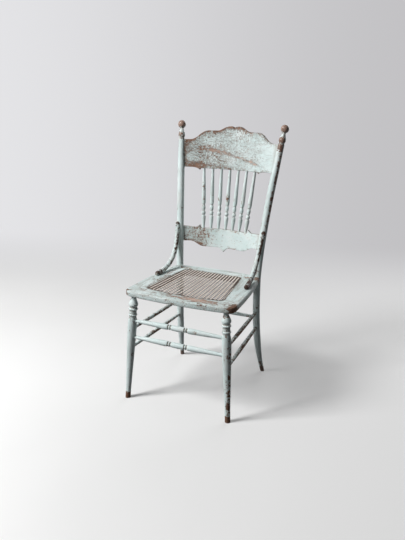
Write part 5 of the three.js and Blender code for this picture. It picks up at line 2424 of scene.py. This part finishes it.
    def camera(self) -> None:
        """Sets the camera at the photograph's viewing angle."""
        data = bpy.data.cameras.new("camera")
        data.lens = self.lens
        data.sensor_width = 36.0
        camera = bpy.data.objects.new("camera", data)
        columns = (self.right, self.up, self.back, self.camera_at)
        matrix = Matrix.Identity(4)
        for i, column in enumerate(columns):
            for k in range(3):
                matrix[k][i] = column[k]
        camera.matrix_world = matrix
        bpy.context.scene.collection.objects.link(camera)
        bpy.context.scene.camera = camera

    def build(self) -> None:
        """Sets the whole studio."""
        self.camera()
        self.floor()
        self.light()
        bpy.context.scene.view_settings.view_transform = "Standard"


# Wear of each piece

LEFT_POST_WEAR = WearPlan(
    0.13,
    worn(
        (690, 55, 9, 30, 0.36), (684, -40, 8, 16, 0.32), (985, -10, 10, 70, 0.4),
        (968, 20, 6, 60, 0.34), (760, 75, 60, 14, 0.24), (890, 75, 50, 16, 0.3),
        (55, 30, 14, 80, 0.2),
    ),
)
RIGHT_POST_WEAR_AND_SHADE = WearPlan(
    0.15,
    worn(
        (955, -20, 18, 80, 0.55), (985, -30, 10, 60, 0.4), (890, 50, 90, 26, 0.36),
        (870, -60, 30, 14, 0.34), (800, -70, 40, 20, 0.3), (740, 50, 110, 26, 0.36),
        # The first place of this row, on the side at 85 degrees, is painted shade: dark bare wood
        # laid where that side lies in shade.
        (800, 85, 160, 26, 0.3), (660, -60, 14, 40, 0.34), (600, 20, 30, 50, 0.3),
        (470, -30, 22, 80, 0.4), (40, 20, 22, 60, 0.5), (320, 40, 16, 40, 0.34),
    ),
)
LEFT_LEG_WEAR = WearPlan(
    0.19,
    worn(
        (50, -70, 30, 28, 0.45), (180, 55, 30, 16, 0.3), (292, -5, 9, 12, 0.32),
        (341, -20, 4, 50, 0.32), (330, 20, 9, 60, 0.14),
    ),
)
RIGHT_LEG_WEAR_AND_SHADE = WearPlan(
    0.21,
    worn(
        (339, 15, 5, 18, 0.52), (262, 25, 16, 10, 0.45), (250, -15, 9, 8, 0.36),
        (110, 40, 70, 45, 0.3), (230, 70, 120, 22, 0.22), (58, 30, 20, 60, 0.4),
        # The first place of this row, a bare ring round the neck under the seat, is partly painted
        # shade of the seat.
        (412, 0, 7, 180, 0.34), (366, 20, 4, 20, 0.32),
    ),
)
CREST_WEAR = WearPlan(
    0.25,
    worn(
        (-110, 75, 110, 95, 0.14), (-200, 80, 24, 70, 0.2), (-85, 74, 55, 6, 0.2, -4),
        (10, 55, 75, 5.5, 0.22, -12), (110, 30, 45, 4.5, 0.3, -14), (-150, 16, 40, 11, 0.24),
        (-20, 8, 130, 12, 0.08), (20, 166, 70, 9, 0.16), (-90, 150, 60, 9, 0.14),
        (198, 60, 50, 80, -0.28), (125, 10, 45, 12, -0.14), (-95, 112, 44, 15, -0.14),
        (-178, 45, 18, 16, -0.16),
    ),
    edge=0.25,
    rubs=worn(
        (10, 55, 80, 14, 0.95, -12), (110, 30, 50, 12, 1, -14), (90, 145, 60, 24, 0.7),
        (-80, 78, 60, 14, 0.5),
    ),
)
LOWER_WEAR = WearPlan(
    0.12,
    worn(
        (-150, -25, 50, 70, 0.28), (-80, -25, 46, 70, 0.29), (-130, -64, 60, 8, 0.34, -14),
        (-183, -45, 20, 13, 0.42), (45, -74, 26, 5, 0.42), (46, -4, 20, 4, 0.4),
        (100, -30, 60, 30, 0.07), (172, -46, 14, 10, 0.38), (165, -15, 20, 20, 0.16),
        (-182, 0, 12, 12, 0.1), (-168, -8, 20, 12, -0.1),
    ),
    edge=0.1,
    rubs=worn(
        (45, -74, 30, 10, 0.7), (46, -4, 24, 8, 0.7), (-110, -20, 60, 30, 0.45),
    ),
)
SEAT_WEAR = WearPlan(
    0.26,
    worn(
        (105, -224, 70, 18, 0.34), (15, -224, 70, 17, 0.28), (-80, -226, 50, 14, 0.1),
        (220, -234, 20, 26, 0.65), (-218, -236, 13, 10, 0.42), (40, -258, 220, 8, 0.05),
        (-165, -204, 15, 2.6, 0.5), (-160, -216, 15, 2.6, 0.5), (-158, -60, 13, 90, 0.22),
        (-120, 105, 50, 20, 0.2), (185, 95, 14, 26, 0.4), (150, 90, 22, 12, 0.22),
        (180, -60, 22, 90, -0.08), (0, 122, 110, 14, -0.1), (-210, -60, 14, 110, -0.06),
    ),
    edge=0.04,
    rubs=worn(
        (65, -224, 110, 22, 1), (-158, -60, 14, 90, 0.45), (150, 95, 40, 20, 0.8),
        (-110, 108, 50, 18, 0.5),
    ),
)
SPINDLE_WEAR = (
    WearPlan(
        0.18,
        worn((185, 10, 26, 70, 0.32), (135, 30, 14, 50, 0.34)),
    ),
    WearPlan(0.17, worn((150, 20, 10, 50, 0.24))),
    WearPlan(0.17, worn((132, -10, 14, 50, 0.28))),
    WearPlan(0.17, worn((146, 0, 20, 60, 0.5))),
    WearPlan(0.17, worn((140, -20, 12, 50, 0.3))),
    WearPlan(0.17, worn((135, -30, 10, 40, 0.28))),
    WearPlan(0.17, worn((125, -20, 10, 50, 0.26))),
)
LEFT_BRACKET_WEAR = WearPlan(
    0.21,
    worn(
        (6, 180, 10, 200, 0.35), (100, 130, 70, 50, 0.36), (200, 100, 50, 50, 0.24),
        (275, 180, 22, 200, 0.55),
    ),
)
RIGHT_BRACKET_WEAR = WearPlan(
    0.22,
    worn(
        (6, 180, 10, 200, 0.35), (60, 140, 60, 45, 0.5), (150, 110, 40, 50, 0.24),
        (262, 180, 48, 240, 0.65),
    ),
)
FRONT_STRETCHER_WEAR = (
    WearPlan(0.15, worn((262, 20, 9, 60, 0.26))),
    WearPlan(0.15, worn((150, 0, 30, 50, 0.14))),
)
# These places on the side at 100 to 110 degrees, and the higher base on the right, are wear and
# dirt, and partly painted shade of the sides that lie in shade.
SIDE_WEAR_AND_SHADE_PLACES = worn((190, 100, 70, 70, 0.14), (190, 110, 500, 70, 0.2))
SIDE_STRETCHER_WEAR_AND_SHADE = {
    Side.LEFT: WearPlan(0.3, SIDE_WEAR_AND_SHADE_PLACES),
    Side.RIGHT: WearPlan(0.4, SIDE_WEAR_AND_SHADE_PLACES),
}
BACK_STRETCHER_WEAR = WearPlan(0.16, worn((330, 20, 40, 90, 0.3)))


def main() -> None:
    """Builds the chair piece by piece and sets it in the studio."""
    logging.basicConfig(level=logging.INFO, format="%(message)s")
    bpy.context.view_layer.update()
    Studio().build()
    bench = Bench(DEPTH_SHIFT)
    posts = {
        Side.LEFT: BackPost(Side.LEFT, LEFT_POST_WEAR),
        Side.RIGHT: BackPost(Side.RIGHT, RIGHT_POST_WEAR_AND_SHADE),
    }
    legs = {
        Side.LEFT: FrontLeg(Side.LEFT, LEFT_LEG_WEAR),
        Side.RIGHT: FrontLeg(Side.RIGHT, RIGHT_LEG_WEAR_AND_SHADE),
    }
    right = posts[Side.RIGHT]
    for upright in (*posts.values(), *legs.values()):
        upright.build(bench)
    Stretchers(posts, legs).build(bench)
    crest = BackRail(
        "crest_rail", right, CREST_WEAR, z=CREST_Z, low=CREST_LOW, high=CREST_HIGH, sag=40.0,
        outline=crest_outline(right), finish=CREST_PAINT,
    )
    lower = BackRail(
        "lower_back_rail", right, LOWER_WEAR, z=LOWER_Z, low=LOWER_LOW, high=LOWER_HIGH, sag=54.0,
        outline=lower_outline(right), finish=LOWER_PAINT,
    )
    spindles = Spindles(crest, lower, SPINDLE_WEAR)
    crest.build(bench, [step * spindles.pitch_high for step in spindles.steps()])
    lower.build(bench, [step * spindles.pitch_low for step in spindles.steps()])
    spindles.build(bench)
    seat = Seat(right, SEAT_WEAR)
    seat.build(bench)
    CaneSeat(seat).build(bench)
    HipBracket(posts[Side.LEFT], LEFT_BRACKET_WEAR).build(bench)
    HipBracket(right, RIGHT_BRACKET_WEAR).build(bench)
    for name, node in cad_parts.items():
        if "dowel" in name:
            node.data.materials.clear()
            node.data.materials.append(DOWEL_WOOD.material())


if __name__ == "__main__":
    main()
